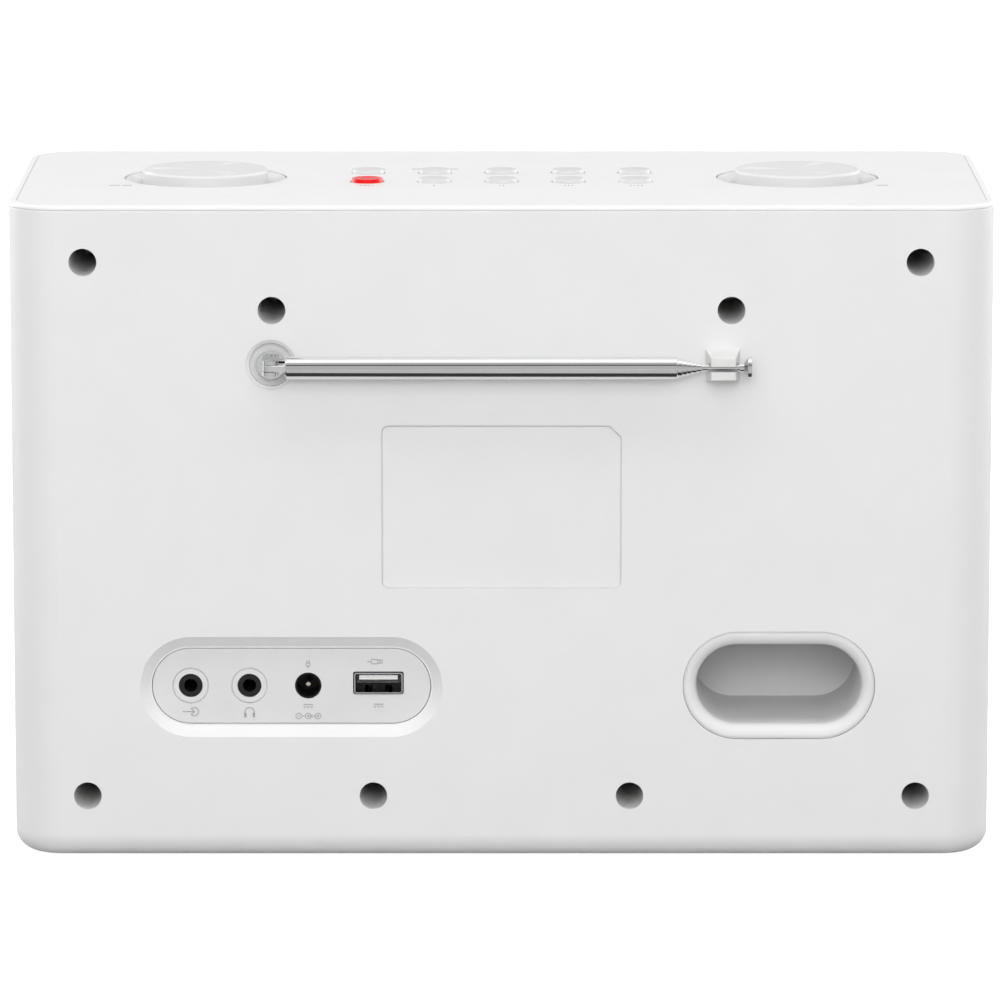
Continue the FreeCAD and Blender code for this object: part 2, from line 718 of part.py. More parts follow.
def scoop(x, angle):
    """One shallow finger scoop: a spindle about a radial line above the knob's top."""
    rise = SCOOP_RADIUS - SCOOP_DEPTH
    inner, widest, outer = V(SCOOP_FROM, 0, -rise), V(SCOOP_WIDEST, 0, -SCOOP_RADIUS), V(SCOOP_TO, 0, -rise)
    edges = [
        Part.makeLine(V(SCOOP_FROM, 0, 0), inner),
        Part.makeLine(inner, widest),
        Part.makeLine(widest, outer),
        Part.makeLine(outer, V(SCOOP_TO, 0, 0)),
        Part.makeLine(V(SCOOP_TO, 0, 0), V(SCOOP_FROM, 0, 0)),
    ]
    spindle = Part.Face(Part.Wire(edges)).revolve(V(0, 0, 0), V(1, 0, 0), 360)
    spindle.rotate(V(0, 0, 0), V(0, 0, 1), angle)
    spindle.translate(V(x, KNOB_Y, KNOB_TOP_Z + rise))
    return spindle


def knob(x):
    """A flat round knob with three scoops in its top and a hub with a D-shaped bore."""
    disc = rod_z(x, KNOB_Y, KNOB_R, KNOB_BOTTOM_Z, KNOB_TOP_Z)
    disc = disc.makeFillet(KNOB_EDGE_R, edges_at(disc, "Z", KNOB_TOP_Z))
    hollow = rod_z(x, KNOB_Y, KNOB_R - KNOB_SKIRT, KNOB_BOTTOM_Z - PAST, KNOB_TOP_Z - KNOB_PLATE_T)
    disc = disc.cut([hollow] + [scoop(x, turn * 360 / SCOOP_COUNT) for turn in range(SCOOP_COUNT)])
    hub = rod_z(x, KNOB_Y, HUB_R, HUB_BOTTOM_Z, KNOB_TOP_Z - KNOB_PLATE_T + TINY)
    bore_r = SHAFT_R + RUNNING_GAP
    round_bore = rod_z(x, KNOB_Y, bore_r, HUB_BOTTOM_Z - PAST, SHAFT_FLAT_FROM_Z)
    bore = rod_z(x, KNOB_Y, bore_r, SHAFT_FLAT_FROM_Z, SHAFT_TOP_Z + RUNNING_GAP)
    flat_y = KNOB_Y + SHAFT_FLAT + RUNNING_GAP
    beyond = box((x - HUB_R, x + HUB_R), (flat_y, flat_y + HUB_R), (SHAFT_FLAT_FROM_Z, KNOB_TOP_Z))
    return joined([disc, hub]).cut([round_bore, bore.cut(beyond)])


def encoder(x):
    """A rotary encoder: a body on the control board with a bore for its shaft."""
    across, deep, high = ENCODER_BODY
    x_range = (x - across / 2, x + across / 2)
    y_range = (KNOB_Y - deep / 2, KNOB_Y + deep / 2)
    top = CONTROL_TOP_Z + high
    body = box(x_range, y_range, (CONTROL_TOP_Z, top))
    collar = rod_z(x, KNOB_Y, ENCODER_COLLAR_R, top - PAST, top + ENCODER_COLLAR_T)
    bore_floor = SHAFT_BOTTOM_Z - PLUNGER_T - KNOB_TRAVEL - RUNNING_GAP
    bore = rod_z(x, KNOB_Y, SHAFT_R + RUNNING_GAP, bore_floor, top + ENCODER_COLLAR_T + PAST)
    return joined([body, collar]).cut(bore)


def shaft(x):
    """An encoder's shaft, with a flat that turns with the knob."""
    rod = rod_z(x, KNOB_Y, SHAFT_R, SHAFT_BOTTOM_Z, SHAFT_TOP_Z)
    flat_y = KNOB_Y + SHAFT_FLAT
    beyond = box((x - SHAFT_R, x + SHAFT_R), (flat_y, flat_y + SHAFT_R), (SHAFT_FLAT_FROM_Z, HEIGHT))
    return rod.cut(beyond)


def plunger(x):
    """The plunger under a shaft, which works the encoder's push switch."""
    return rod_z(x, KNOB_Y, PLUNGER_R, SHAFT_BOTTOM_Z - PLUNGER_T, SHAFT_BOTTOM_Z)


def button(x, y):
    """A button cap: a short cone with a dished top, a retaining flange and a stem."""
    low, high = BUTTON_FLANGE_Z
    skirt = rod_z(x, y, BUTTON_R, low, HEIGHT)
    crown = Part.makeCone(BUTTON_R, BUTTON_TOP_R, BUTTON_RISE, V(x, y, HEIGHT))
    flange = rod_z(x, y, BUTTON_FLANGE_R, low, high)
    stem_end = CONTROL_TOP_Z + SWITCH_BODY[2] + SWITCH_PLUNGER_T + BUTTON_TRAVEL + PANEL_GAP
    stem = rod_z(x, y, BUTTON_STEM_R, stem_end, high)
    ball_r = (BUTTON_DISH_R ** 2 + BUTTON_DISH_DEPTH ** 2) / (2 * BUTTON_DISH_DEPTH)
    ball_z = HEIGHT + BUTTON_RISE - BUTTON_DISH_DEPTH + ball_r
    dish = Part.makeSphere(ball_r, V(x, y, ball_z))
    return joined([skirt, crown, flange, stem]).cut(dish)


def button_switches():
    """A tactile switch on the control board under every button."""
    across, deep, high = SWITCH_BODY
    switches = []
    for y in BUTTON_ROWS.values():
        for x in BUTTON_COLUMNS:
            top = CONTROL_TOP_Z + high
            x_range = (x - across / 2, x + across / 2)
            body = box(x_range, (y - deep / 2, y + deep / 2), (CONTROL_TOP_Z, top))
            nib = rod_z(x, y, SWITCH_PLUNGER_R, top - PAST, top + SWITCH_PLUNGER_T)
            switches.append(joined([body, nib]))
    return group(switches)


def screw_holes_z(sites, z_range):
    """Tools for the clearance holes of small screws through a circuit board."""
    return [rod_z(x, y, SMALL_HOLE_R, z_range[0] - PAST, z_range[1] + PAST) for x, y in sites]


def control_board():
    """The circuit board that carries the switches and encoders."""
    z_range = (CONTROL_TOP_Z - BOARD_T, CONTROL_TOP_Z)
    board = box((-CONTROL_BOARD_X, CONTROL_BOARD_X), CONTROL_BOARD_Y, z_range)
    return board.cut(screw_holes_z(CONTROL_POSTS, z_range))


# ---------------------------------------------------------------- sockets and main board

def socket_panel():
    """The inset plate that the sockets come through."""
    back = SOCKET_FACE_Y - SOCKET_PANEL_T
    plate = slab_y(socket_panel_outline(SOCKET_PANEL_GAP), back, SOCKET_FACE_Y)
    through = (back - PAST, SOCKET_FACE_Y + PAST)
    groove_y = (SOCKET_FACE_Y - JACK_RING_DEPTH, SOCKET_FACE_Y + PAST)
    cuts = []
    for x in (AUX_X, HEADPHONE_X):
        ring = rod_y(x, SOCKET_Z, JACK_RING_R, *groove_y)
        cuts.append(ring.cut(rod_y(x, SOCKET_Z, JACK_RING_R - JACK_RING_WIDTH, *groove_y)))
        cuts.append(rod_y(x, SOCKET_Z, JACK_BUSH_R + PANEL_GAP, *through))
    cuts.append(rod_y(DC_X, SOCKET_Z, DC_BARREL_R + PANEL_GAP, *through))
    across, up = [size / 2 + USB_GAP for size in USB_OUTER]
    usb_hole = rectangle((USB_X - across, USB_X + across), (USB_Z - up, USB_Z + up), USB_SHEET * 2)
    cuts.append(slab_y(usb_hole, *through))
    return plate.cut(cuts)


def socket_block(x, size):
    """A socket's body, standing on the main board behind the socket panel."""
    across, deep, high = size
    back = SOCKET_FACE_Y - SOCKET_PANEL_T
    return box((x - across / 2, x + across / 2), (back - deep, back), (MAIN_TOP_Z, MAIN_TOP_Z + high))


def jack(x):
    """A 3.5 mm jack socket, with its round bush in the socket panel."""
    back = SOCKET_FACE_Y - SOCKET_PANEL_T
    bush = rod_y(x, SOCKET_Z, JACK_BUSH_R, back - PAST, JACK_FACE_Y)
    bore = rod_y(x, SOCKET_Z, JACK_BORE_R, JACK_FACE_Y - JACK_BORE_LENGTH, PAST)
    return joined([socket_block(x, JACK_BODY), bush]).cut(bore)


def dc_jack():
    """The power inlet's body and barrel."""
    back = SOCKET_FACE_Y - SOCKET_PANEL_T
    barrel = rod_y(DC_X, SOCKET_Z, DC_BARREL_R, back - PAST, SOCKET_FACE_Y)
    bore = rod_y(DC_X, SOCKET_Z, DC_BORE_R, SOCKET_FACE_Y - DC_DEPTH, PAST)
    return joined([socket_block(DC_X, DC_BODY), barrel]).cut(bore)


def usb_outline(inset):
    """The USB shell's outline, drawn in by an inset."""
    across, up = [size / 2 - inset for size in USB_OUTER]
    return rectangle((USB_X - across, USB_X + across), (USB_Z - up, USB_Z + up), USB_SHEET * 2 - inset)


def usb_shell():
    """The USB socket's pressed shell, closed at the back."""
    back = USB_FACE_Y - USB_DEPTH
    outer = slab_y(usb_outline(0), back, USB_FACE_Y)
    return outer.cut(slab_y(usb_outline(USB_SHEET), back + USB_SHEET, PAST))


def usb_tongue():
    """The insulating tongue in the upper half of the USB socket, with its back block."""
    across, thick = USB_TONGUE
    back = USB_FACE_Y - USB_DEPTH + USB_SHEET
    middle = USB_Z + USB_TONGUE_Z
    x_range = (USB_X - across / 2, USB_X + across / 2)
    y_range = (back, USB_FACE_Y - USB_TONGUE_SET_BACK)
    tongue = box(x_range, y_range, (middle - thick / 2, middle + thick / 2))
    block = slab_y(usb_outline(USB_SHEET + PANEL_GAP), back, back + USB_BLOCK_T)
    return joined([tongue, block])


def socket_contacts():
    """The power inlet's centre pin and the USB tongue's four contact strips."""
    pin_back = SOCKET_FACE_Y - DC_DEPTH
    pin_front = SOCKET_FACE_Y - DC_PIN_SET_BACK
    pin = rod_y(DC_X, SOCKET_Z, DC_PIN_R, pin_back, pin_front)
    pin = pin.makeFillet(DC_PIN_NOSE_R, edges_at(pin, "Y", pin_front))
    under = USB_Z + USB_TONGUE_Z - USB_TONGUE[1] / 2
    y_range = [USB_FACE_Y - reach for reach in USB_CONTACT_REACH]
    contacts = [pin]
    for offset in USB_CONTACT_X:
        x_range = (USB_X + offset - USB_CONTACT_HALF, USB_X + offset + USB_CONTACT_HALF)
        contacts.append(box(x_range, y_range, (under - USB_CONTACT_T, under)))
    return group(contacts)


def main_board():
    """The circuit board that carries the sockets and the tuner."""
    z_range = (MAIN_TOP_Z - BOARD_T, MAIN_TOP_Z)
    board = box(MAIN_BOARD_X, MAIN_BOARD_Y, z_range)
    return board.cut(screw_holes_z(MAIN_POSTS, z_range))


def tuner_module():
    """The tuner's screening can on the main board."""
    return box(TUNER_X, TUNER_Y, (MAIN_TOP_Z, MAIN_TOP_Z + TUNER_HEIGHT))


def bass_port():
    """The port: a mouth with a rounded lip in the rear face, and an elbow that turns upwards behind it."""
    outer = stadium(PORT_X, PORT_Z, [size + 2 * PORT_WALL for size in PORT_BORE])
    flange = [size + 2 * PORT_FLANGE for size in PORT_RING]
    ring = slab_y(stadium(PORT_X, PORT_Z, PORT_RING), -WALL - PORT_FLANGE_T, 0)
    collar = slab_y(stadium(PORT_X, PORT_Z, flange), -WALL - PORT_FLANGE_T, -WALL)
    step = [size + 2 * (PORT_GAP - PANEL_GAP) for size in PORT_RING]
    groove_floor = slab_y(stadium(PORT_X, PORT_Z, step), -WALL - PORT_FLANGE_T, -PORT_GROOVE)
    tube = slab_y(outer, PORT_JOINT_Y, 0)
    bore = slab_y(stadium(PORT_X, PORT_Z, PORT_BORE), -PORT_DEPTH, PAST)
    mouth = joined([ring, collar, groove_floor, tube]).cut(bore)
    reach = PORT_BORE[1] / 2 + PORT_WALL
    lip = []
    for edge in edges_at(mouth, "Y", 0):
        if edge.BoundBox.ZMin > PORT_Z - reach and edge.BoundBox.ZMax < PORT_Z + reach:
            lip.append(edge)
    mouth = mouth.makeFillet(PORT_LIP_R, lip)
    back = -PORT_DEPTH - PORT_WALL
    half = PORT_BORE[0] / 2
    bend = slab_y(outer, back, PORT_JOINT_Y)
    across = half + PORT_WALL
    riser = box((PORT_X - across, PORT_X + across), (back, PORT_JOINT_Y), (PORT_Z, PORT_TOP_Z))
    shaft_y = (-PORT_DEPTH, -PORT_DEPTH + PORT_TURN)
    chimney = box((PORT_X - half, PORT_X + half), shaft_y, (PORT_Z, PORT_TOP_Z + PAST))
    elbow = joined([bend, riser]).cut([bore, chimney])
    return group([mouth, elbow])


# ---------------------------------------------------------------- speakers

def speaker_screw_sites():
    """Four fixing screws round each speaker, on its diagonals."""
    sites = []
    reach = SPEAKER_SCREW_R * math.sqrt(0.5)
    for side in (-1, 1):
        for across in (-reach, reach):
            for up in (-reach, reach):
                sites.append((side * SPEAKER_X + across, SPEAKER_Z + up))
    return sites


def turned_y(x, points):
    """A solid turned about a speaker's axis from (radius, y) points."""
    corners = [V(x + r, y, SPEAKER_Z) for r, y in points]
    wire = Part.makePolygon(corners + corners[:1])
    return Part.Face(wire).revolve(V(x, 0, SPEAKER_Z), V(0, 1, 0), 360)


def speaker_frames():
    """The two pressed baskets."""
    face = BAFFLE_Y[1]
    root = face + FRAME_FLANGE_T
    outline = [
        (FRAME_INNER_R, face),
        (FRAME_R, face),
        (FRAME_R, root),
        (FRAME_INNER_R + FRAME_SHEET, root),
        (FRAME_NECK_R + FRAME_SHEET, FRAME_NECK_Y),
        (FRAME_NECK_R + FRAME_SHEET, FRAME_NECK_Y + FRAME_BACK_T),
        (COIL_HOLE_R, FRAME_NECK_Y + FRAME_BACK_T),
        (COIL_HOLE_R, FRAME_NECK_Y),
        (FRAME_NECK_R, FRAME_NECK_Y),
        (FRAME_INNER_R, root),
    ]
    frames = []
    for side in (-1, 1):
        x = side * SPEAKER_X
        frame = turned_y(x, outline)
        middle = (root + FRAME_NECK_Y) / 2
        cuts = []
        for turn in range(FRAME_WINDOWS):
            window = rod_x(middle, SPEAKER_Z, (FRAME_NECK_Y - root) / 3, x, x + FRAME_R)
            window.rotate(V(x, middle, SPEAKER_Z), V(0, 1, 0), turn * 360 / FRAME_WINDOWS)
            cuts.append(window)
        for sx, sz in speaker_screw_sites():
            cuts.append(rod_y(sx, sz, SMALL_HOLE_R, face - PAST, root + PAST))
        frames.append(frame.cut(cuts))
    return group(frames)


def speaker_magnets():
    """The two magnets, each with a ring gap for its voice coil."""
    front = FRAME_NECK_Y + FRAME_BACK_T
    magnets = []
    for side in (-1, 1):
        x = side * SPEAKER_X
        inner, outer = COIL_GAP
        gap_end = front + COIL_GAP_DEPTH
        disc = rod_y(x, SPEAKER_Z, MAGNET_R, front, front + MAGNET_T)
        gap = rod_y(x, SPEAKER_Z, outer, front - PAST, gap_end)
        gap = gap.cut(rod_y(x, SPEAKER_Z, inner, front - PAST, gap_end))
        magnets.append(disc.cut(gap))
    return group(magnets)


def speaker_cone(side):
    """Paper cone, rubber surround, dust cap and voice coil, which move as one."""
    x = side * SPEAKER_X
    inner, outer = COIL_R
    outline = [
        (inner, COIL_END_Y),
        (outer, COIL_END_Y),
        (outer, CONE_NECK_Y),
        (CONE_R, CONE_FRONT_Y),
        (CONE_R, CONE_FRONT_Y - CONE_SHEET),
        (inner, CONE_NECK_Y - CONE_SHEET),
    ]
    cone = turned_y(x, outline)
    roll_y = CONE_FRONT_Y - CONE_SHEET / 2
    roll_r = CONE_R + SURROUND_ROLL_R - CONE_SHEET / 2
    roll = Part.makeTorus(roll_r, SURROUND_ROLL_R, V(x, roll_y, SPEAKER_Z), V(0, 1, 0))
    core = Part.makeTorus(roll_r, SURROUND_ROLL_R - CONE_SHEET, V(x, roll_y, SPEAKER_Z), V(0, 1, 0))
    behind = rod_y(x, SPEAKER_Z, FRAME_R, roll_y, roll_y + SURROUND_ROLL_R + PAST)
    roll = roll.cut([core, behind])
    rise = DUST_CAP_RISE
    ball_r = (outer ** 2 + rise ** 2) / (2 * rise)
    cap_y = CONE_NECK_Y - CONE_SHEET
    ball_y = cap_y - rise + ball_r
    cap = Part.makeSphere(ball_r, V(x, ball_y, SPEAKER_Z))
    cap = cap.cut(Part.makeSphere(ball_r - CONE_SHEET, V(x, ball_y, SPEAKER_Z)))
    cap = cap.common(rod_y(x, SPEAKER_Z, outer, cap_y - rise - PAST, cap_y + CONE_SHEET / 2))
    return joined([cone, roll, cap])


# ---------------------------------------------------------------- fasteners and leads

def housing_screws():
    """The eight long-reach screws that close the cabinet, at the bottoms of the wells."""
    screws = []
    for x, z in WELL_SITES:
        head = rod_y(x, z, SCREW_HEAD_R, -WELL_DEPTH, -WELL_DEPTH + SCREW_HEAD_T)
        head = head.makeFillet(SCREW_HEAD_T / 4, edges_at(head, "Y", -WELL_DEPTH + SCREW_HEAD_T))
        thread = rod_y(x, z, SCREW_R, -WELL_DEPTH - SCREW_LENGTH, -WELL_DEPTH)
        screws.append(joined([head, thread]))
    return group(screws)


def inner_screws():
    """The small screws of the baffle, the speakers and both circuit boards."""
    screws = []
    for x, z in BAFFLE_SCREWS:
        screws.append(screw_y(x, z, BAFFLE_Y[1], SMALL_LENGTH - PAST, 1))
    for x, z in speaker_screw_sites():
        screws.append(screw_y(x, z, BAFFLE_Y[1] + FRAME_FLANGE_T, SMALL_LENGTH - PAST, 1))
    for x, y in CONTROL_POSTS:
        screws.append(screw_z(x, y, CONTROL_TOP_Z - BOARD_T, SMALL_LENGTH, -1))
    for x, y in MAIN_POSTS:
        screws.append(screw_z(x, y, MAIN_TOP_Z, SMALL_LENGTH, 1))
    return group(screws)


def aerial_lead():
    """An eyelet round the aerial's shank and the lead from it to the tuner."""
    eyelet_y = (-AERIAL_BOSS_DEPTH - EYELET_T, -AERIAL_BOSS_DEPTH)
    eyelet = rod_y(AERIAL_X, AERIAL_Z, AERIAL_WASHER_R, *eyelet_y)
    tail_z = (AERIAL_Z - AERIAL_BOSS_R - 2 * LEAD_R, AERIAL_Z)
    eyelet = eyelet.fuse(box((AERIAL_X - LEAD_R, AERIAL_X + LEAD_R), eyelet_y, tail_z))
    eyelet = eyelet.cut(rod_y(AERIAL_X, AERIAL_Z, SHANK_R + CLIP_STEM_GAP, -AERIAL_WASHER_R * 2, 0))
    start = (AERIAL_X, eyelet_y[0] + EYELET_T / 2, tail_z[0] + LEAD_R)
    x, y, _ = AERIAL_LEAD_ROUTE[-1]
    return joined([eyelet, lead([start] + AERIAL_LEAD_ROUTE + [(x, y, MAIN_TOP_Z + TUNER_HEIGHT)])])


def speaker_lead(side):
    """The lead from one speaker's basket to the main board."""
    route = [(side * x, y, z) for x, y, z in SPEAKER_LEAD_ROUTE]
    return lead(route + [(*route[-1][:2], MAIN_TOP_Z)])


def control_ribbon():
    """The flat cable between the two circuit boards, bowed so that it isn't tight."""
    top = CONTROL_TOP_Z - BOARD_T
    low = MAIN_TOP_Z
    middle = (top + low) / 2
    sides = []
    for offset in (0, RIBBON_T):
        y = RIBBON_Y - offset
        arc = Part.Arc(V(0, y, top), V(0, y + RIBBON_BOW, middle), V(0, y, low)).toShape()
        sides.append(arc)
    ends = [Part.makeLine(V(0, RIBBON_Y, z), V(0, RIBBON_Y - RIBBON_T, z)) for z in (low, top)]
    face = Part.Face(Part.Wire(Part.__sortEdges__(sides + ends)))
    face.translate(V(-RIBBON_HALF, 0, 0))
    return face.extrude(V(2 * RIBBON_HALF, 0, 0))


def inner_leads():
    """The leads and the flat cable inside the cabinet."""
    return group([aerial_lead(), speaker_lead(-1), speaker_lead(1), control_ribbon()])


# ---------------------------------------------------------------- aerial

def antenna_swivel():
    """The aerial's turning base: a disc in the recess, a shank through the wall and a fork."""
    disc = rod_y(AERIAL_X, AERIAL_Z, SWIVEL_R, SWIVEL_BACK_Y, SWIVEL_FACE_Y)
    disc = disc.makeFillet(SWIVEL_FACE_Y / 2, edges_at(disc, "Y", SWIVEL_FACE_Y))
    shank = rod_y(AERIAL_X, AERIAL_Z, SHANK_R, SHANK_END_Y, SWIVEL_BACK_Y + PAST)
    pieces = [disc, shank]
    gap = TONGUE_T / 2 + TONGUE_GAP
    for z in (AERIAL_Z + gap, AERIAL_Z - gap - EAR_T):
        x_range = (AERIAL_X - EAR_R, AERIAL_X + EAR_R)
        ear = box(x_range, (SWIVEL_FACE_Y - PAST, AERIAL_Y), (z, z + EAR_T))
        round_end = rod_z(AERIAL_X, AERIAL_Y, EAR_R, z, z + EAR_T)
        pieces.append(joined([ear, round_end]))
    pin_hole = rod_z(AERIAL_X, AERIAL_Y, PIN_R, AERIAL_Z - SWIVEL_R, AERIAL_Z + SWIVEL_R)
    tapped = rod_y(AERIAL_X, AERIAL_Z, AERIAL_SCREW_R, SHANK_END_Y - PAST, SWIVEL_BACK_Y)
    return joined(pieces).cut([pin_hole, tapped])


def antenna_pin():
    """The rivet through the fork and the tube's tongue."""
    half = TONGUE_T / 2 + TONGUE_GAP + EAR_T
    pin = rod_z(AERIAL_X, AERIAL_Y, PIN_R, AERIAL_Z - half, AERIAL_Z + half)
    heads = []
    for low in (AERIAL_Z + half, AERIAL_Z - half - PIN_HEAD_T):
        heads.append(rod_z(AERIAL_X, AERIAL_Y, PIN_HEAD_R, low, low + PIN_HEAD_T))
    return joined([pin] + heads)


def antenna_screw():
    """The screw and washer that hold the swivel inside the cabinet."""
    washer = rod_y(AERIAL_X, AERIAL_Z, AERIAL_WASHER_R, SHANK_END_Y - AERIAL_WASHER_T, SHANK_END_Y)
    head_end = SHANK_END_Y - AERIAL_WASHER_T - SMALL_HEAD_T
    head = rod_y(AERIAL_X, AERIAL_Z, SMALL_HEAD_R, head_end, SHANK_END_Y)
    thread = rod_y(AERIAL_X, AERIAL_Z, AERIAL_SCREW_R, SHANK_END_Y - PAST, SWIVEL_BACK_Y)
    return joined([washer, head, thread])


def tube_bore(stage):
    """The bore of one tube: a running fit round the next section."""
    inner_radii = TUBE_RADII[1:] + [ROD_R]
    return inner_radii[stage] + RUNNING_GAP


def stage_start(stage):
    """Where a section's inner end lies when the aerial is pushed in."""
    return TUBE_START_X - TUBE_PLUG - STAGE_STEP * stage


def antenna_tube(stage):
    """One telescopic tube. The first has a plug and a flat tongue for the fork."""
    end = TUBE_ENDS[stage]
    start = TUBE_START_X if stage == 0 else stage_start(stage)
    tube = rod_x(AERIAL_Y, AERIAL_Z, TUBE_RADII[stage], end, start)
    tube = tube.makeChamfer(TUBE_EDGE, edges_at(tube, "X", end))
    bore_start = stage_start(0) if stage == 0 else start + PAST
    bore = rod_x(AERIAL_Y, AERIAL_Z, tube_bore(stage), end - PAST, bore_start)
    tube = tube.cut(bore)
    if stage > 0:
        return tube
    z_range = (AERIAL_Z - TONGUE_T / 2, AERIAL_Z + TONGUE_T / 2)
    flat = box((TUBE_START_X - PAST, AERIAL_X), (AERIAL_Y - TONGUE_R, AERIAL_Y + TONGUE_R), z_range)
    round_end = rod_z(AERIAL_X, AERIAL_Y, TONGUE_R, *z_range)
    hole = rod_z(AERIAL_X, AERIAL_Y, PIN_R + RUNNING_GAP, z_range[0] - PAST, z_range[1] + PAST)
    return joined([tube, flat, round_end]).cut(hole)


def antenna_rod():
    """The thin solid rod inside the last tube."""
    return rod_x(AERIAL_Y, AERIAL_Z, ROD_R, ROD_END_X, stage_start(len(TUBE_RADII)))


def antenna_tip():
    """The cap on the rod: a ferrule, a flare and a disc to pull by."""
    ferrule = rod_x(AERIAL_Y, AERIAL_Z, FERRULE_R, FERRULE_END_X, ROD_END_X)
    length = FERRULE_END_X - TIP_DISC_X
    flare = Part.makeCone(*TIP_CONE_R, length, V(FERRULE_END_X, AERIAL_Y, AERIAL_Z), V(-1, 0, 0))
    disc = rod_x(AERIAL_Y, AERIAL_Z, TIP_DISC_R, TIP_END_X, TIP_DISC_X)
    disc = disc.makeFillet(TIP_EDGE, edges_at(disc, "X", TIP_DISC_X) + edges_at(disc, "X", TIP_END_X))
    return joined([ferrule, flare, disc])


def antenna_clip():
    """The snap clip that holds the stowed rod, with a stem through the rear wall."""
    def face(size, r):
        across, up = size[0] / 2, size[1] / 2
        return rectangle((CLIP_X - across, CLIP_X + across), (CLIP_Z - up, CLIP_Z + up), r)
    block = loft_y(face(CLIP_BASE, CLIP_CORNER_R), 0, face(CLIP_FRONT, CLIP_CORNER_R), CLIP_PROUD)
    block = block.makeFillet(CLIP_EDGE_R, edges_at(block, "Y", CLIP_PROUD))
    stem = slab_y(face(CLIP_STEM, CLIP_CORNER_R), -CLIP_STEM_DEPTH, PAST)
    reach = CLIP_BASE[0]
    x_range = (CLIP_X - reach, CLIP_X + reach)
    seat = rod_x(AERIAL_Y, AERIAL_Z, CLIP_CHANNEL_R, *x_range)
    half = CLIP_CHANNEL_R
    pocket = box(x_range, (AERIAL_Y, CLIP_MOUTH_Y), (AERIAL_Z - half, AERIAL_Z + half))
    half = CLIP_MOUTH / 2
    mouth = box(x_range, (AERIAL_Y, CLIP_PROUD + PAST), (AERIAL_Z - half, AERIAL_Z + half))
    return joined([block, stem]).cut([seat, pocket, mouth])


# ---------------------------------------------------------------- output

def all_parts():
    """Every sub-part by its name."""
    parts = {
        "rear_housing": rear_housing(),
        "front_panel": front_panel(),
        "speaker_baffle": speaker_baffle(),
        "top_cover": top_cover(),
        "top_panel": top_panel(),
        "knob_wells": knob_wells(),
        "grille_left": grille(-1),
        "grille_right": grille(1),
        "display_window": display_window(),
        "display_module": display_module(),
        "rubber_feet": rubber_feet(),
        "socket_panel": socket_panel(),
        "bass_port": bass_port(),
        "aux_jack": jack(AUX_X),
        "headphone_jack": jack(HEADPHONE_X),
        "dc_jack": dc_jack(),
        "usb_shell": usb_shell(),
        "usb_tongue": usb_tongue(),
        "socket_contacts": socket_contacts(),
        "main_board": main_board(),
        "tuner_module": tuner_module(),
        "control_board": control_board(),
        "button_switches": button_switches(),
        "speaker_frames": speaker_frames(),
        "speaker_magnets": speaker_magnets(),
        "speaker_cone_left": speaker_cone(-1),
        "speaker_cone_right": speaker_cone(1),
        "housing_screws": housing_screws(),
        "inner_screws": inner_screws(),
        "inner_leads": inner_leads(),
        "antenna_swivel": antenna_swivel(),
        "antenna_pin": antenna_pin(),
        "antenna_screw": antenna_screw(),
        "antenna_rod": antenna_rod(),
        "antenna_tip": antenna_tip(),
        "antenna_clip": antenna_clip(),
    }
    for stage in range(len(TUBE_RADII)):
        parts[f"antenna_tube_{stage + 1}"] = antenna_tube(stage)
    for name, x in (("select", KNOB_X), ("volume", -KNOB_X)):
        parts[f"{name}_encoder"] = encoder(x)
        parts[f"{name}_plunger"] = plunger(x)
        parts[f"{name}_shaft"] = shaft(x)
        parts[f"{name}_knob"] = knob(x)
    for row, y in BUTTON_ROWS.items():
        for number, x in enumerate(BUTTON_COLUMNS, 1):
            power = row == "rear" and number == 1
            parts["power_button" if power else f"{row}_button_{number}"] = button(x, y)
    return parts


def export(name, shape):
    """Move a piece into the part's own frame and write it."""
    moved = shape.copy()
    moved.translate(V(0, REAR_Y, -TABLE_Z))
    moved.exportStep(os.path.join("parts", name + ".step"))


os.makedirs("parts", exist_ok=True)
for part_name, part_shape in all_parts().items():
    export(part_name, part_shape)
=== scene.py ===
import json
import math

import bmesh
import bpy
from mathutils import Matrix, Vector


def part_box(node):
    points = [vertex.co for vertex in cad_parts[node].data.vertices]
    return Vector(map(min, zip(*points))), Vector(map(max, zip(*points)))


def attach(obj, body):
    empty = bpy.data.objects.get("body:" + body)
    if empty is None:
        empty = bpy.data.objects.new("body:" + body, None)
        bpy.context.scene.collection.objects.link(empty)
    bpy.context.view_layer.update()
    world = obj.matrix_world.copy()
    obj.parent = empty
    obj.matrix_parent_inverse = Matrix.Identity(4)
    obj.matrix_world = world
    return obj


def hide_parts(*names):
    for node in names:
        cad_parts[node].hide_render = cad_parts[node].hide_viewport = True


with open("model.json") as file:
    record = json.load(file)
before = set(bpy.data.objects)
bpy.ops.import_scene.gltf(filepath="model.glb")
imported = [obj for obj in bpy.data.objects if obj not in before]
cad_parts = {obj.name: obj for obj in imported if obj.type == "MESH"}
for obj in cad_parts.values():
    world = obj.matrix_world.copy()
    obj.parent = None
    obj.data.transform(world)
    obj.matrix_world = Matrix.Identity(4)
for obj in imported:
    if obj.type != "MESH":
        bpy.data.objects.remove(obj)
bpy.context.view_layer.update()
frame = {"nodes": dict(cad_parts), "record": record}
NODES = frame["nodes"]
SCENE = bpy.context.scene
MM = 0.001

REAR_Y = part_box("rear_housing")[1].y
TOP_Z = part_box("top_panel")[1].z
TOP_ABOVE_DATUM = 177.0 * MM
DATUM_Z = TOP_Z - TOP_ABOVE_DATUM    # heights of the screws and sockets are measured from here


# ---------------------------------------------------------------- camera

CAMERA_ACROSS = 0.0004
CAMERA_BEHIND = 1.877    # from the rear face
CAMERA_ABOVE = 0.4282    # from the datum


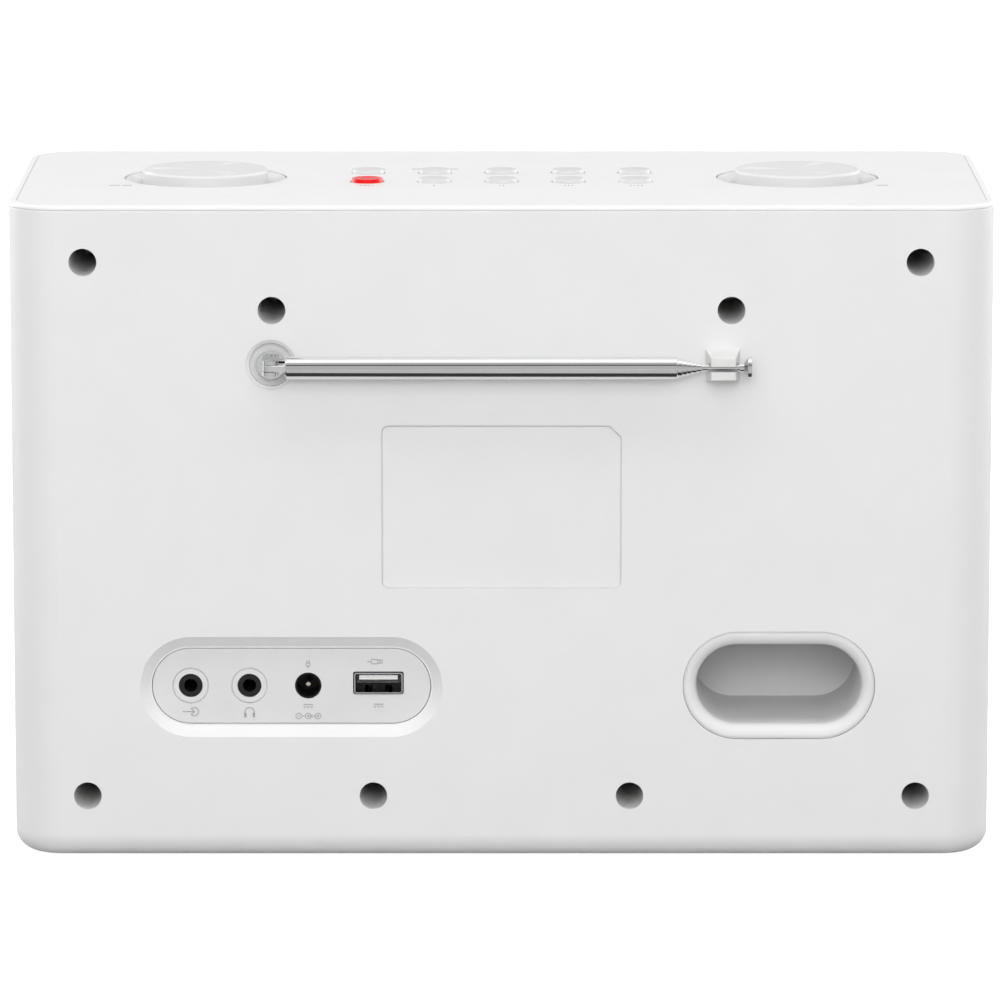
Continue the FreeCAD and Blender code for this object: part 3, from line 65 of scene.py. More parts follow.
def make_camera():
    """A long lens behind the radio, looking down at it by ten degrees."""
    data = bpy.data.cameras.new("camera")
    data.lens = 255.06
    data.sensor_width = 36.0
    data.clip_start = 0.05
    data.clip_end = 50.0
    camera = bpy.data.objects.new("camera", data)
    camera.location = (CAMERA_ACROSS, REAR_Y + CAMERA_BEHIND, DATUM_Z + CAMERA_ABOVE)
    camera.rotation_euler = (math.radians(80.0), 0.0, math.radians(180.0))
    SCENE.collection.objects.link(camera)
    SCENE.camera = camera


make_camera()
SCENE.view_settings.view_transform = "Standard"


# ---------------------------------------------------------------- finishes

class Finish:
    """A node material built up from object-space noise."""

    def __init__(self, name, metallic=0.0, **sockets):
        self.material = bpy.data.materials.new(name)
        self.material.use_nodes = True
        self.tree = self.material.node_tree
        self.shader = self.tree.nodes["Principled BSDF"]
        self.shader.inputs["Metallic"].default_value = metallic
        for socket, value in sockets.items():
            self.shader.inputs[socket.replace("_", " ")].default_value = value
        self.coords = self.tree.nodes.new("ShaderNodeTexCoord")
        self.normal = None

    def link(self, source, target):
        self.tree.links.new(source, target)

    def stretched(self, stretch):
        """Object coordinates scaled by axis, for grain that runs one way."""
        node = self.tree.nodes.new("ShaderNodeMapping")
        node.inputs["Scale"].default_value = stretch
        self.link(self.coords.outputs["Object"], node.inputs["Vector"])
        return node.outputs["Vector"]

    def noise(self, scale, detail=2.0, stretch=(1, 1, 1)):
        node = self.tree.nodes.new("ShaderNodeTexNoise")
        node.inputs["Scale"].default_value = scale
        node.inputs["Detail"].default_value = detail
        self.link(self.stretched(stretch), node.inputs["Vector"])
        return node.outputs["Fac"]

    def cells(self, scale, stretch=(1, 1, 1)):
        node = self.tree.nodes.new("ShaderNodeTexVoronoi")
        node.inputs["Scale"].default_value = scale
        self.link(self.stretched(stretch), node.inputs["Vector"])
        return node.outputs["Distance"]

    def ranged(self, value, low, high, start=0.3, end=0.7):
        node = self.tree.nodes.new("ShaderNodeMapRange")
        node.inputs["From Min"].default_value = start
        node.inputs["From Max"].default_value = end
        node.inputs["To Min"].default_value = low
        node.inputs["To Max"].default_value = high
        self.link(value, node.inputs["Value"])
        return node.outputs["Result"]

    def colour(self, base, other, value, start=0.3, end=0.7):
        """Base colour that drifts between two tones."""
        node = self.tree.nodes.new("ShaderNodeMix")
        node.data_type = "RGBA"
        node.inputs["A"].default_value = (*base, 1)
        node.inputs["B"].default_value = (*other, 1)
        self.link(self.ranged(value, 0.0, 1.0, start, end), node.inputs["Factor"])
        self.link(node.outputs["Result"], self.shader.inputs["Base Color"])

    def roughness(self, low, high, value):
        self.link(self.ranged(value, low, high), self.shader.inputs["Roughness"])

    def bump(self, value, depth):
        """Adds relief of a depth in metres on top of any relief already there."""
        node = self.tree.nodes.new("ShaderNodeBump")
        node.inputs["Strength"].default_value = 1.0
        node.inputs["Distance"].default_value = depth
        self.link(value, node.inputs["Height"])
        if self.normal is not None:
            self.link(self.normal, node.inputs["Normal"])
        self.normal = node.outputs["Normal"]
        self.link(self.normal, self.shader.inputs["Normal"])


def tone(value, tint=(1.0, 1.0, 1.0)):
    return tuple(value * t for t in tint)


def moulded(name, value, rough, grain, depth, drift=0.03, waves=0.00002, **sockets):
    """Moulded plastic: spark-eroded grain, a slight mottle and soft moulding waves."""
    finish = Finish(name, **sockets)
    finish.colour(tone(value * (1 - drift)), tone(value * (1 + drift)), finish.noise(55.0, 4.0))
    finish.roughness(rough - 0.06, rough + 0.06, finish.noise(700.0, 3.0))
    finish.bump(finish.noise(14.0, 1.0), waves)
    finish.bump(finish.noise(grain, 2.0), depth)
    finish.bump(finish.cells(grain * 0.55), depth * 0.5)
    return finish.material


def metal(name, value, rough_low, rough_high, stretch, scratch, tint=(1.0, 1.0, 1.0)):
    """Bare or plated metal with fine marks that run one way."""
    finish = Finish(name, metallic=1.0)
    finish.colour(tone(value * 0.95, tint), tone(value, tint), finish.noise(90.0, 3.0))
    finish.roughness(rough_low, rough_high, finish.noise(260.0, 4.0, stretch))
    finish.bump(finish.noise(900.0, 3.0, stretch), scratch)
    return finish.material


FINISHES = {
    "white_shell": moulded("white_shell", 0.790, 0.52, 2600.0, 0.000014, 0.010),
    "white_cover": moulded("white_cover", 0.830, 0.46, 3000.0, 0.000006, 0.010),
    "white_top": moulded("white_top", 0.830, 0.36, 3600.0, 0.0000016, 0.008),
    "pale_grey_plastic": moulded("pale_grey_plastic", 0.720, 0.55, 2400.0, 0.000020, 0.025),
    "port_plastic": moulded("port_plastic", 0.770, 0.50, 2200.0, 0.000022, 0.025),
    "black_plastic": moulded("black_plastic", 0.016, 0.50, 2400.0, 0.000018, 0.10),
    "socket_black": moulded("socket_black", 0.012, 0.42, 3200.0, 0.000008, 0.12),
    "switch_plastic": moulded("switch_plastic", 0.025, 0.40, 2600.0, 0.000010, 0.10),
    "usb_insulator": moulded("usb_insulator", 0.860, 0.28, 3400.0, 0.000003, 0.01),
    "foot_rubber": moulded("foot_rubber", 0.035, 0.78, 1800.0, 0.000030, 0.15),
    "display_black": moulded("display_black", 0.006, 0.12, 1500.0, 0.000001, 0.20, Coat_Weight=0.6),
    "knob_white": moulded("knob_white", 0.700, 0.42, 3600.0, 0.0000016, 0.008),
    "button_white": moulded("button_white", 0.640, 0.42, 3600.0, 0.0000016, 0.008),
    "lead_insulation": moulded("lead_insulation", 0.10, 0.55, 1500.0, 0.000010, 0.10),
    "encoder_body": metal("encoder_body", 0.66, 0.28, 0.42, (1.0, 0.1, 1.0), 0.000003),
    "screw_steel": metal("screw_steel", 0.56, 0.22, 0.42, (1.0, 1.0, 1.0), 0.000003),
    "contact_metal": metal("contact_metal", 0.90, 0.12, 0.25, (1.0, 0.1, 1.0), 0.000001, (1.0, 0.97, 0.90)),
    "magnet_iron": metal("magnet_iron", 0.20, 0.40, 0.60, (1.0, 1.0, 1.0), 0.000010),
    "speaker_steel": moulded("speaker_steel", 0.02, 0.32, 900.0, 0.000010, 0.15, Coat_Weight=0.3),
}


def chrome():
    """Mirror plating with faint lengthwise rub marks from sliding."""
    finish = Finish("aerial_chrome", metallic=1.0)
    finish.colour((0.86, 0.865, 0.875), (0.92, 0.92, 0.925), finish.noise(40.0, 2.0))
    finish.roughness(0.02, 0.075, finish.noise(420.0, 4.0, (0.04, 1.0, 1.0)))
    finish.bump(finish.noise(1400.0, 2.0, (0.03, 1.0, 1.0)), 0.0000004)
    return finish.material


def connector_shell_painted_shade():
    """Steel sheet with painted shade: its colour goes from bright at the mouth to dark down inside the
    socket.
    """
    finish = Finish("usb_steel", metallic=1.0)
    split = finish.tree.nodes.new("ShaderNodeSeparateXYZ")
    finish.link(finish.coords.outputs["Object"], split.inputs["Vector"])
    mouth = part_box("usb_shell")[1].y
    dark_from = mouth - 0.8 * MM
    bright_from = mouth - 0.1 * MM
    # painted shade: the colour darkens with depth into the socket, where the recess falls in shade
    finish.colour((0.035, 0.035, 0.037), (0.84, 0.84, 0.85), split.outputs["Y"], dark_from, bright_from)
    finish.roughness(0.20, 0.36, finish.noise(260.0, 4.0, (1.0, 0.08, 1.0)))
    finish.bump(finish.noise(900.0, 3.0, (1.0, 0.08, 1.0)), 0.000002)
    return finish.material


def natural_nylon():
    """Unpigmented plastic that lets a little light through."""
    finish = Finish("clip_plastic", Transmission_Weight=0.05, IOR=1.5)
    finish.colour((0.74, 0.75, 0.74), (0.77, 0.77, 0.76), finish.noise(160.0, 3.0))
    finish.roughness(0.36, 0.44, finish.noise(700.0, 3.0))
    finish.bump(finish.noise(500.0, 2.0), 0.000004)
    return finish.material


def red_plastic():
    """Glossy red button plastic."""
    finish = Finish("red_button", Coat_Weight=0.08, Coat_Roughness=0.12, Specular_IOR_Level=0.25)
    finish.colour((0.74, 0.004, 0.005), (0.80, 0.007, 0.008), finish.noise(300.0, 3.0))
    finish.roughness(0.20, 0.32, finish.noise(900.0, 3.0))
    finish.bump(finish.noise(2600.0, 2.0), 0.000002)
    return finish.material


def powder_coat():
    """Powder-coated sheet with its fine orange peel."""
    finish = Finish("grille_steel")
    finish.colour((0.68, 0.685, 0.69), (0.73, 0.735, 0.74), finish.noise(45.0, 4.0))
    finish.roughness(0.38, 0.52, finish.noise(1100.0, 3.0))
    finish.bump(finish.noise(1700.0, 2.0), 0.000012)
    finish.bump(finish.noise(420.0, 1.0), 0.00001)
    return finish.material


def smoked_acrylic():
    """Dark clear window with a polished face and a few hairline marks."""
    sockets = {"Transmission_Weight": 0.85, "IOR": 1.49, "Coat_Weight": 0.4, "Coat_Roughness": 0.03}
    finish = Finish("window_acrylic", **sockets)
    finish.colour((0.035, 0.037, 0.042), (0.050, 0.052, 0.058), finish.noise(30.0, 2.0))
    finish.roughness(0.02, 0.06, finish.noise(240.0, 4.0, (0.1, 1.0, 1.0)))
    finish.bump(finish.noise(60.0, 1.0), 0.000002)
    return finish.material


def pressed_fibre():
    """Speaker paper with short matted fibres."""
    finish = Finish("cone_paper", Sheen_Weight=0.25)
    finish.colour((0.016, 0.016, 0.017), (0.040, 0.039, 0.038), finish.noise(1300.0, 5.0, (1.0, 0.3, 1.0)))
    finish.roughness(0.75, 0.92, finish.noise(500.0, 3.0))
    finish.bump(finish.noise(1900.0, 5.0), 0.00004)
    return finish.material


def solder_mask():
    """Green board with the relief of the tracks under its lacquer."""
    finish = Finish("circuit_board", Coat_Weight=0.3)
    tracks = finish.cells(260.0, (1.0, 0.35, 1.0))
    finish.colour((0.006, 0.060, 0.022), (0.012, 0.120, 0.045), tracks, 0.15, 0.5)
    finish.roughness(0.25, 0.45, finish.noise(600.0, 3.0))
    finish.bump(tracks, 0.00003)
    return finish.material


def printed_grey(name, value):
    """Thin grey ink, a little uneven at its scale."""
    finish = Finish(name)
    finish.colour(tone(value * 0.88), tone(value * 1.08), finish.noise(1500.0, 4.0))
    finish.roughness(0.45, 0.65, finish.noise(900.0, 3.0))
    finish.bump(finish.noise(3200.0, 3.0), 0.000006)
    return finish.material


FINISHES["aerial_chrome"] = chrome()
FINISHES["usb_steel"] = connector_shell_painted_shade()
FINISHES["clip_plastic"] = natural_nylon()
FINISHES["red_button"] = red_plastic()
FINISHES["grille_steel"] = powder_coat()
FINISHES["window_acrylic"] = smoked_acrylic()
FINISHES["cone_paper"] = pressed_fibre()
FINISHES["circuit_board"] = solder_mask()
LEGEND_INK = printed_grey("legend_relief", 0.42)
TOP_INK = printed_grey("top_ink", 0.26)

for subpart in frame["record"]["subparts"]:
    node = NODES[subpart["node"]]
    node.data.materials.clear()
    node.data.materials.append(FINISHES[subpart["material_slot"]])


# ---------------------------------------------------------------- mesh helpers

def add_piece(name, bm, finish, body, sharp=35.0):
    """Turns a bmesh into a piece that rides on a body."""
    bmesh.ops.remove_doubles(bm, verts=bm.verts, dist=1e-7)
    bmesh.ops.recalc_face_normals(bm, faces=bm.faces)
    mesh = bpy.data.meshes.new(name)
    bm.to_mesh(mesh)
    bm.free()
    mesh.materials.append(finish)
    mesh.shade_smooth()
    mesh.set_sharp_from_angle(angle=math.radians(sharp))
    piece = bpy.data.objects.new(name, mesh)
    SCENE.collection.objects.link(piece)
    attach(piece, body)
    return piece


def lathe(bm, profile, place, segments=72):
    """Turns a closed (along, radius) profile; place(along, across, up) puts a point in the frame."""
    rings = []
    for step in range(segments):
        turn = 2 * math.pi * step / segments
        ring = []
        for along, radius in profile:
            point = place(along, radius * math.cos(turn), radius * math.sin(turn))
            ring.append(bm.verts.new(point))
        rings.append(ring)
    count = len(profile)
    for step in range(segments):
        here, there = rings[step], rings[(step + 1) % segments]
        for i in range(count):
            j = (i + 1) % count
            if profile[i][1] < 1e-9 and profile[j][1] < 1e-9:
                continue
            bm.faces.new((here[i], here[j], there[j], there[i]))


def middle(node):
    low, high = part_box(node)
    return (low.x + high.x) / 2, (low.y + high.y) / 2


def rounded_loop(x0, x1, z0, z1, r, steps=8):
    """Points round a rounded rectangle, anticlockwise."""
    points = []
    corners = [(x1 - r, z1 - r), (x0 + r, z1 - r), (x0 + r, z0 + r), (x1 - r, z0 + r)]
    for quarter, (cx, cz) in enumerate(corners):
        start = 90 * quarter
        for step in range(steps + 1):
            a = math.radians(start + 90 * step / steps)
            points.append((cx + r * math.cos(a), cz + r * math.sin(a)))
    return points


def arc(cx, cy, r, start, end, steps=16):
    """Points along an arc, in degrees."""
    points = []
    for step in range(steps + 1):
        a = math.radians(start + (end - start) * step / steps)
        points.append((cx + r * math.cos(a), cy + r * math.sin(a)))
    return points


SUNK = -0.02    # a mark starts this far under its surface, in millimetres
DISC_SIDES = 20


def stroke(bm, points, width, place, height):
    """A raised line of one width along (u, v) points in millimetres; place puts a point in the frame."""
    closed = math.dist(points[0], points[-1]) < 1e-6
    if closed:
        points = points[:-1]
    count = len(points)
    sides = []
    for i, (u, v) in enumerate(points):
        before = points[i - 1] if closed or i > 0 else (u, v)
        after = points[(i + 1) % count] if closed or i < count - 1 else (u, v)
        du, dv = after[0] - before[0], after[1] - before[1]
        length = math.hypot(du, dv)
        nu, nv = -dv / length * width / 2, du / length * width / 2
        sides.append(((u + nu, v + nv), (u - nu, v - nv)))
    rows = []
    for left, right in sides:
        rows.append([
            bm.verts.new(place(*left, SUNK)),
            bm.verts.new(place(*left, height)),
            bm.verts.new(place(*right, height)),
            bm.verts.new(place(*right, SUNK)),
        ])
    last = count if closed else count - 1
    for i in range(last):
        here, there = rows[i], rows[(i + 1) % count]
        for k in range(3):
            bm.faces.new((here[k], here[k + 1], there[k + 1], there[k]))
    if not closed:
        bm.faces.new(rows[0])
        bm.faces.new(rows[-1])


def disc_mark(bm, u, v, r, place, height):
    """A small filled round mark."""
    turns = [math.tau * k / DISC_SIDES for k in range(DISC_SIDES)]
    ring = [(u + r * math.cos(a), v + r * math.sin(a)) for a in turns]
    top = [bm.verts.new(place(*p, height)) for p in ring]
    low = [bm.verts.new(place(*p, SUNK)) for p in ring]
    bm.faces.new(top)
    for k in range(DISC_SIDES):
        j = (k + 1) % DISC_SIDES
        bm.faces.new((low[k], low[j], top[j], top[k]))


# ---------------------------------------------------------------- aerial

AERIAL_Z = sum(c.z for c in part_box("antenna_rod")) / 2
AERIAL_Y = sum(c.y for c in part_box("antenna_rod")) / 2
SLIDING_GAP = 0.05 * MM
TONGUE_LENGTH = 6.3 * MM    # from the end of the first tube's round part to its tip
TUBE_CHAMFER = 0.25 * MM


def along_x(along, across, up):
    return Vector((along, AERIAL_Y + across, AERIAL_Z + up))


def radius_of(node):
    low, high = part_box(node)
    return (high.z - low.z) / 2


def tube(stage):
    """One chrome tube, with a rolled lip where the next section comes out."""
    name = f"antenna_tube_{stage}"
    low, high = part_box(name)
    outer = radius_of(name)
    inner_node = f"antenna_tube_{stage + 1}" if stage < 6 else "antenna_rod"
    bore = radius_of(inner_node) + SLIDING_GAP
    start = high.x
    if stage == 1:
        start = high.x - TONGUE_LENGTH
    lip = min(0.32 * MM, (outer - bore) * 0.75)
    profile = [(start, bore), (low.x, bore)]
    for step in range(7):
        a = math.radians(90 * step / 6)
        profile.append((low.x + lip - lip * math.cos(a), outer - lip + lip * math.sin(a)))
    profile.append((low.x + lip + 0.5 * MM, outer))
    profile.append((start - 0.4 * MM, outer))
    profile.append((start, outer - TUBE_CHAMFER))
    bm = bmesh.new()
    lathe(bm, profile, along_x)
    if stage == 1:
        add_tongue(bm, start, bore, outer, high.x)
    finish = FINISHES["aerial_chrome"]
    piece = add_piece(f"aerial_section_{stage}", bm, finish, f"antenna_stage_{stage}")
    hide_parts(name)


def add_tongue(bm, start, bore, outer, end):
    """The first tube's plug and the flat tongue that the rivet goes through."""
    half = 0.9 * MM
    reach = 2.2 * MM
    plug_end = start - 5.0 * MM
    lathe(bm, [(plug_end, 0.0), (plug_end, bore), (start, outer - TUBE_CHAMFER), (start, 0.0)], along_x)
    outline = [(start - 0.5 * MM, reach), (start - 0.5 * MM, -reach)]
    centre = end - reach
    for u, v in arc(0, 0, reach, -90, 90, 24):
        outline.append((centre + u, v))
    bevel = 0.15 * MM
    levels = [(-half, bevel), (-half + bevel, 0.0), (half - bevel, 0.0), (half, bevel)]
    rows = []
    for up, inset in levels:
        row = []
        for x, y in outline:
            keep = 1 - inset / reach
            point = (centre + (x - centre) * keep, AERIAL_Y + y * keep, AERIAL_Z + up)
            row.append(bm.verts.new(Vector(point)))
        rows.append(row)
    count = len(outline)
    for here, there in zip(rows, rows[1:]):
        for k in range(count):
            bm.faces.new((here[k], here[(k + 1) % count], there[(k + 1) % count], there[k]))
    bm.faces.new(rows[0])
    bm.faces.new(rows[-1])


for number in range(1, 7):
    tube(number)


def thin_rod():
    """The last solid section."""
    low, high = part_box("antenna_rod")
    r = radius_of("antenna_rod")
    bm = bmesh.new()
    chamfer = 0.2 * MM
    profile = [(low.x, 0.0), (low.x, r), (high.x - chamfer, r), (high.x, r - chamfer), (high.x, 0.0)]
    lathe(bm, profile, along_x, 48)
    piece = add_piece("aerial_thin_rod", bm, FINISHES["aerial_chrome"], "antenna_stage_7")
    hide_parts("antenna_rod")


thin_rod()


# ---------------------------------------------------------------- housing screws

SCREW_SITES = [(112.1, 161.7), (61.6, 148.7), (112.1, 15.8), (34.7, 15.8)]    # one side's, in mm


def housing_screws():
    """Pan-head screws with a cross recess at the bottoms of the wells."""
    low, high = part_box("housing_screws")
    head_r, head_t = 2.9 * MM, 2.4 * MM
    sites = []
    for x, z in SCREW_SITES:
        sites += [(x * MM, DATUM_Z + z * MM), (-x * MM, DATUM_Z + z * MM)]
    bm = bmesh.new()
    for x, z in sites:
        cross_headed_screw(bm, x, z, high.y - head_t, head_r, head_t, low.y)
    piece = add_piece("well_screws", bm, FINISHES["screw_steel"], "cabinet", 25.0)
    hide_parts("housing_screws")


def cross_headed_screw(bm, x, z, seat, head_r, head_t, end):
    """One screw along Y: a domed head with a cross recess, and a coarse thread."""
    crown = seat + head_t
    arm, slot_half, deep = 1.7 * MM, 0.38 * MM, 1.3 * MM
    core = [
        (slot_half, slot_half),
        (-slot_half, slot_half),
        (-slot_half, -slot_half),
        (slot_half, -slot_half),
    ]
    cross = []
    for k, (u, v) in enumerate(core):
        first = (arm if k in (0, 3) else -arm, v) if k % 2 == 0 else (u, arm if k < 2 else -arm)
        last = (u, arm if k < 2 else -arm) if k % 2 == 0 else (arm if k in (0, 3) else -arm, v)
        cross += [first, (u, v), last]

    def ring(points, y):
        return [bm.verts.new(Vector((x + u, y, z + v))) for u, v in points]

    def band(a, b):
        for k in range(len(a)):
            bm.faces.new((a[k], a[(k + 1) % len(a)], b[(k + 1) % len(b)], b[k]))

    rim_angles = [math.atan2(v, u) for u, v in cross]
    top = ring(cross, crown - 0.1 * MM)
    bottom = ring([(u * 0.45, v * 0.45) for u, v in cross], crown - deep)
    band(bottom, top)
    bm.faces.new(bottom)
    previous = top
    dome = [(0.72, 0.02 * MM), (0.86, 0.2 * MM), (0.97, 0.75 * MM), (1.0, 1.3 * MM), (1.0, crown - seat)]
    for share, drop in dome:
        y = crown - drop
        rim = ring([(head_r * share * math.cos(a), head_r * share * math.sin(a)) for a in rim_angles], y)
        band(previous, rim)
        previous = rim
    root_r, crest_r = 1.1 * MM, 1.5 * MM
    under = ring([(root_r * math.cos(a), root_r * math.sin(a)) for a in rim_angles], seat)
    band(previous, under)
    previous = under
    turns = 9
    pitch = (seat - end) / (turns + 0.5)
    for k in range(turns * 2 + 1):
        y = seat - pitch * (0.25 + k / 2)
        r = crest_r if k % 2 else root_r
        rim = ring([(r * math.cos(a), r * math.sin(a)) for a in rim_angles], y)
        band(previous, rim)
        previous = rim
    bm.faces.new(previous)


housing_screws()


# ---------------------------------------------------------------- speaker grilles

HOLE_R = 1.0 * MM
HOLE_PITCH = 3.0 * MM
HOLE_EDGE = 0.12 * MM


def grille(node, name):
    """A pressed tray with staggered round holes and a plain border."""
    low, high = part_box(node)
    face_y = low.y
    sheet, bend = 1.0 * MM, 0.7 * MM
    border = 3.4 * MM
    corner = 9.85 * MM
    bm = bmesh.new()
    welded = {}

    def vertex(x, z, y=face_y):
        key = (round(x, 7), round(y, 7), round(z, 7))
        if key not in welded:
            welded[key] = bm.verts.new((x, y, z))
        return welded[key]

    mid_x, mid_z = (low.x + high.x) / 2, (low.z + high.z) / 2
    half_x, half_z = (high.x - low.x) / 2 - border, (high.z - low.z) / 2 - border
    row_step = HOLE_PITCH * math.sqrt(3) / 2
    rows = int(half_z / row_step)
    edge_r = HOLE_PITCH / math.sqrt(3)
    inner_corner = corner - border
    for row in range(-rows, rows + 1):
        shift = HOLE_PITCH / 2 if row % 2 else 0.0
        columns = int(half_x / HOLE_PITCH) + 1
        for column in range(-columns, columns + 1):
            dx, dz = column * HOLE_PITCH + shift, row * row_step
            over_x, over_z = abs(dx) - (half_x - inner_corner), abs(dz) - (half_z - inner_corner)
            if abs(dx) > half_x or (over_x > 0 and over_z > 0 and math.hypot(over_x, over_z) > inner_corner):
                continue
            x, z = mid_x + dx, mid_z + dz
            outer, lip, wall, back = [], [], [], []
            for k in range(12):
                a = math.radians(30 * k)
                r = HOLE_PITCH / 2 if k % 2 == 0 else edge_r
                outer.append(vertex(x + r * math.cos(a), z + r * math.sin(a)))
                for store, radius, y in (
                    (lip, HOLE_R + HOLE_EDGE, face_y),
                    (wall, HOLE_R, face_y + HOLE_EDGE),
                    (back, HOLE_R, face_y + sheet),
                ):
                    store.append(vertex(x + radius * math.cos(a), z + radius * math.sin(a), y))
            for k in range(12):
                j = (k + 1) % 12
                bm.faces.new((outer[k], outer[j], lip[j], lip[k]))
                bm.faces.new((lip[k], lip[j], wall[j], wall[k]))
                bm.faces.new((wall[k], wall[j], back[j], back[k]))
    open_edges = []
    for edge in bm.edges:
        flat = all(abs(v.co.y - face_y) < 1e-9 for v in edge.verts)
        if flat and len(edge.link_faces) == 1:
            open_edges.append(edge)
    loops = []
    for step in range(5):
        a = math.radians(90 * step / 4)
        inset, y = bend * (1 - math.sin(a)), face_y + bend * (1 - math.cos(a))
        points = rounded_loop(low.x + inset, high.x - inset, low.z + inset, high.z - inset, corner - inset)
        loops.append([vertex(px, pz, y) for px, pz in points])
    points = rounded_loop(low.x, high.x, low.z, high.z, corner)
    loops.append([vertex(px, pz, high.y) for px, pz in points])
    points = rounded_loop(low.x + sheet, high.x - sheet, low.z + sheet, high.z - sheet, corner - sheet)
    loops.append([vertex(px, pz, high.y) for px, pz in points])
    loops.append([vertex(px, pz, face_y + sheet) for px, pz in points])
    count = len(points)
    rim_edges = []
    for k in range(count):
        rim_edges.append(bm.edges.new((loops[0][k], loops[0][(k + 1) % count])))
    for a, b in zip(loops, loops[1:]):
        for k in range(count):
            bm.faces.new((a[k], a[(k + 1) % count], b[(k + 1) % count], b[k]))
    bmesh.ops.triangle_fill(bm, use_beauty=True, edges=open_edges + rim_edges, normal=(0, -1, 0))
    piece = add_piece(name, bm, FINISHES["grille_steel"], "cabinet", 30.0)
    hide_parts(node)


grille("grille_left", "speaker_grille_left")
grille("grille_right", "speaker_grille_right")


# ---------------------------------------------------------------- socket legends and small parts

PANEL_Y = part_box("socket_panel")[1].y
SOCKET_Z = DATUM_Z + 45.8 * MM
USB_Z = DATUM_Z + 46.5 * MM


def centre_x(node):
    return middle(node)[0]


def on_panel(cx, cz):
    """A place function for marks on the socket panel, read from behind the cabinet."""
    def place(u, v, rise):
        return Vector((cx - u * MM, PANEL_Y + rise * MM, cz + v * MM))
    return place


LINE = 0.26    # width of a line in a legend, in mm
RISE = 0.10    # and its height


def dc_mark(bm, place, du, dv):
    """Direct current: a line over three dashes."""
    stroke(bm, [(du - 1.3, dv + 0.35), (du + 1.3, dv + 0.35)], LINE, place, RISE)
    for k in (-1, 0, 1):
        stroke(bm, [(du + k * 0.95 - 0.3, dv - 0.35), (du + k * 0.95 + 0.3, dv - 0.35)], LINE, place, RISE)


def socket_legends():
    """Raised pictograms beside the sockets, of generic shapes."""
    bm = bmesh.new()
    place = on_panel(centre_x("aux_jack"), SOCKET_Z)
    stroke(bm, arc(0.9, -7.2, 1.15, -140, 140, 22), LINE, place, RISE)
    stroke(bm, [(-2.2, -7.2), (1.0, -7.2)], LINE, place, RISE)
    stroke(bm, [(0.2, -6.5), (1.0, -7.2), (0.2, -7.9)], LINE, place, RISE)
    place = on_panel(centre_x("headphone_jack"), SOCKET_Z)
    stroke(bm, arc(0, -7.3, 1.25, -30, 210, 24), LINE, place, RISE)
    for side in (-1, 1):
        stroke(bm, [(side * 1.15, -7.6), (side * 1.15, -8.75)], 0.62, place, RISE)
    place = on_panel(centre_x("dc_jack"), SOCKET_Z)
    dc_mark(bm, place, 0, -5.6)
    stroke(bm, [(-0.5, 5.4), (-0.5, 6.2), (0.5, 6.2), (0.5, 5.4), (-0.5, 5.4)], LINE, place, RISE)
    for u in (-0.28, 0.28):
        stroke(bm, [(u, 6.2), (u, 6.95)], LINE * 0.8, place, RISE)
    stroke(bm, [(0, 5.4), (0, 4.75)], LINE, place, RISE)
    for u in (-2.6, 0.0, 2.6):
        stroke(bm, arc(u, -8.4, 0.78, 0, 360, 20), LINE * 0.8, place, RISE)
    stroke(bm, [(-1.82, -8.4), (-0.78, -8.4)], LINE * 0.8, place, RISE)
    stroke(bm, [(0.25, -8.4), (1.82, -8.4)], LINE * 0.8, place, RISE)
    disc_mark(bm, 0, -8.4, 0.25, place, RISE)
    stroke(bm, [(-2.95, -8.4), (-2.25, -8.4)], LINE * 0.8, place, RISE)
    stroke(bm, [(2.25, -8.4), (2.95, -8.4)], LINE * 0.8, place, RISE)
    stroke(bm, [(2.6, -8.75), (2.6, -8.05)], LINE * 0.8, place, RISE)
    place = on_panel(centre_x("usb_shell"), USB_Z)
    stroke(bm, [(-1.9, 5.3), (-0.2, 5.3), (-0.2, 6.5), (-1.9, 6.5), (-1.9, 5.3)], LINE, place, RISE)
    stroke(bm, [(-0.2, 5.5), (1.1, 5.5), (1.1, 6.3), (-0.2, 6.3)], LINE, place, RISE)
    for v in (5.75, 6.05):
        disc_mark(bm, 0.5, v, 0.12, place, RISE)
    stroke(bm, [(-1.9, 5.9), (-3.0, 5.9)], LINE, place, RISE)
    dc_mark(bm, place, 0, -6.2)
    add_piece("socket_legends", bm, LEGEND_INK, "cabinet", 50.0)


socket_legends()


def leaf(bm, points, x0, x1, thick):
    """A bent strip of sheet from (y, z) points, between two x positions."""
    rows = []
    for i, (y, z) in enumerate(points):
        before = points[max(0, i - 1)]
        after = points[min(len(points) - 1, i + 1)]
        dy, dz = after[0] - before[0], after[1] - before[1]
        length = math.hypot(dy, dz)
        ny, nz = -dz / length * thick / 2, dy / length * thick / 2
        rows.append([
            bm.verts.new((x0, y + ny, z + nz)),
            bm.verts.new((x1, y + ny, z + nz)),
            bm.verts.new((x1, y - ny, z - nz)),
            bm.verts.new((x0, y - ny, z - nz)),
        ])
    for here, there in zip(rows, rows[1:]):
        for k in range(4):
            bm.faces.new((here[k], here[(k + 1) % 4], there[(k + 1) % 4], there[k]))
    bm.faces.new(rows[0])
    bm.faces.new(rows[-1])


def usb_springs():
    """The two latch springs pressed out of the USB shell's floor."""
    low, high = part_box("usb_shell")
    floor = low.z + 0.30 * MM
    mouth = high.y
    bm = bmesh.new()
    for side in (-1, 1):
        x = (low.x + high.x) / 2 + side * 2.7 * MM
        points = []
        for step in range(13):
            t = step / 12
            y = mouth - (1.2 + 7.0 * t) * MM
            z = floor + (0.12 + 1.05 * math.sin(math.pi * min(1.0, t * 1.1)) ** 1.5) * MM
            points.append((y, z))
        leaf(bm, points, x - 0.95 * MM, x + 0.95 * MM, 0.25 * MM)
    # The springs take the shell's steel with its painted shade, darker down inside the socket.
    add_piece("usb_latch_springs", bm, FINISHES["usb_steel"], "cabinet")


usb_springs()


# ---------------------------------------------------------------- marks on the top

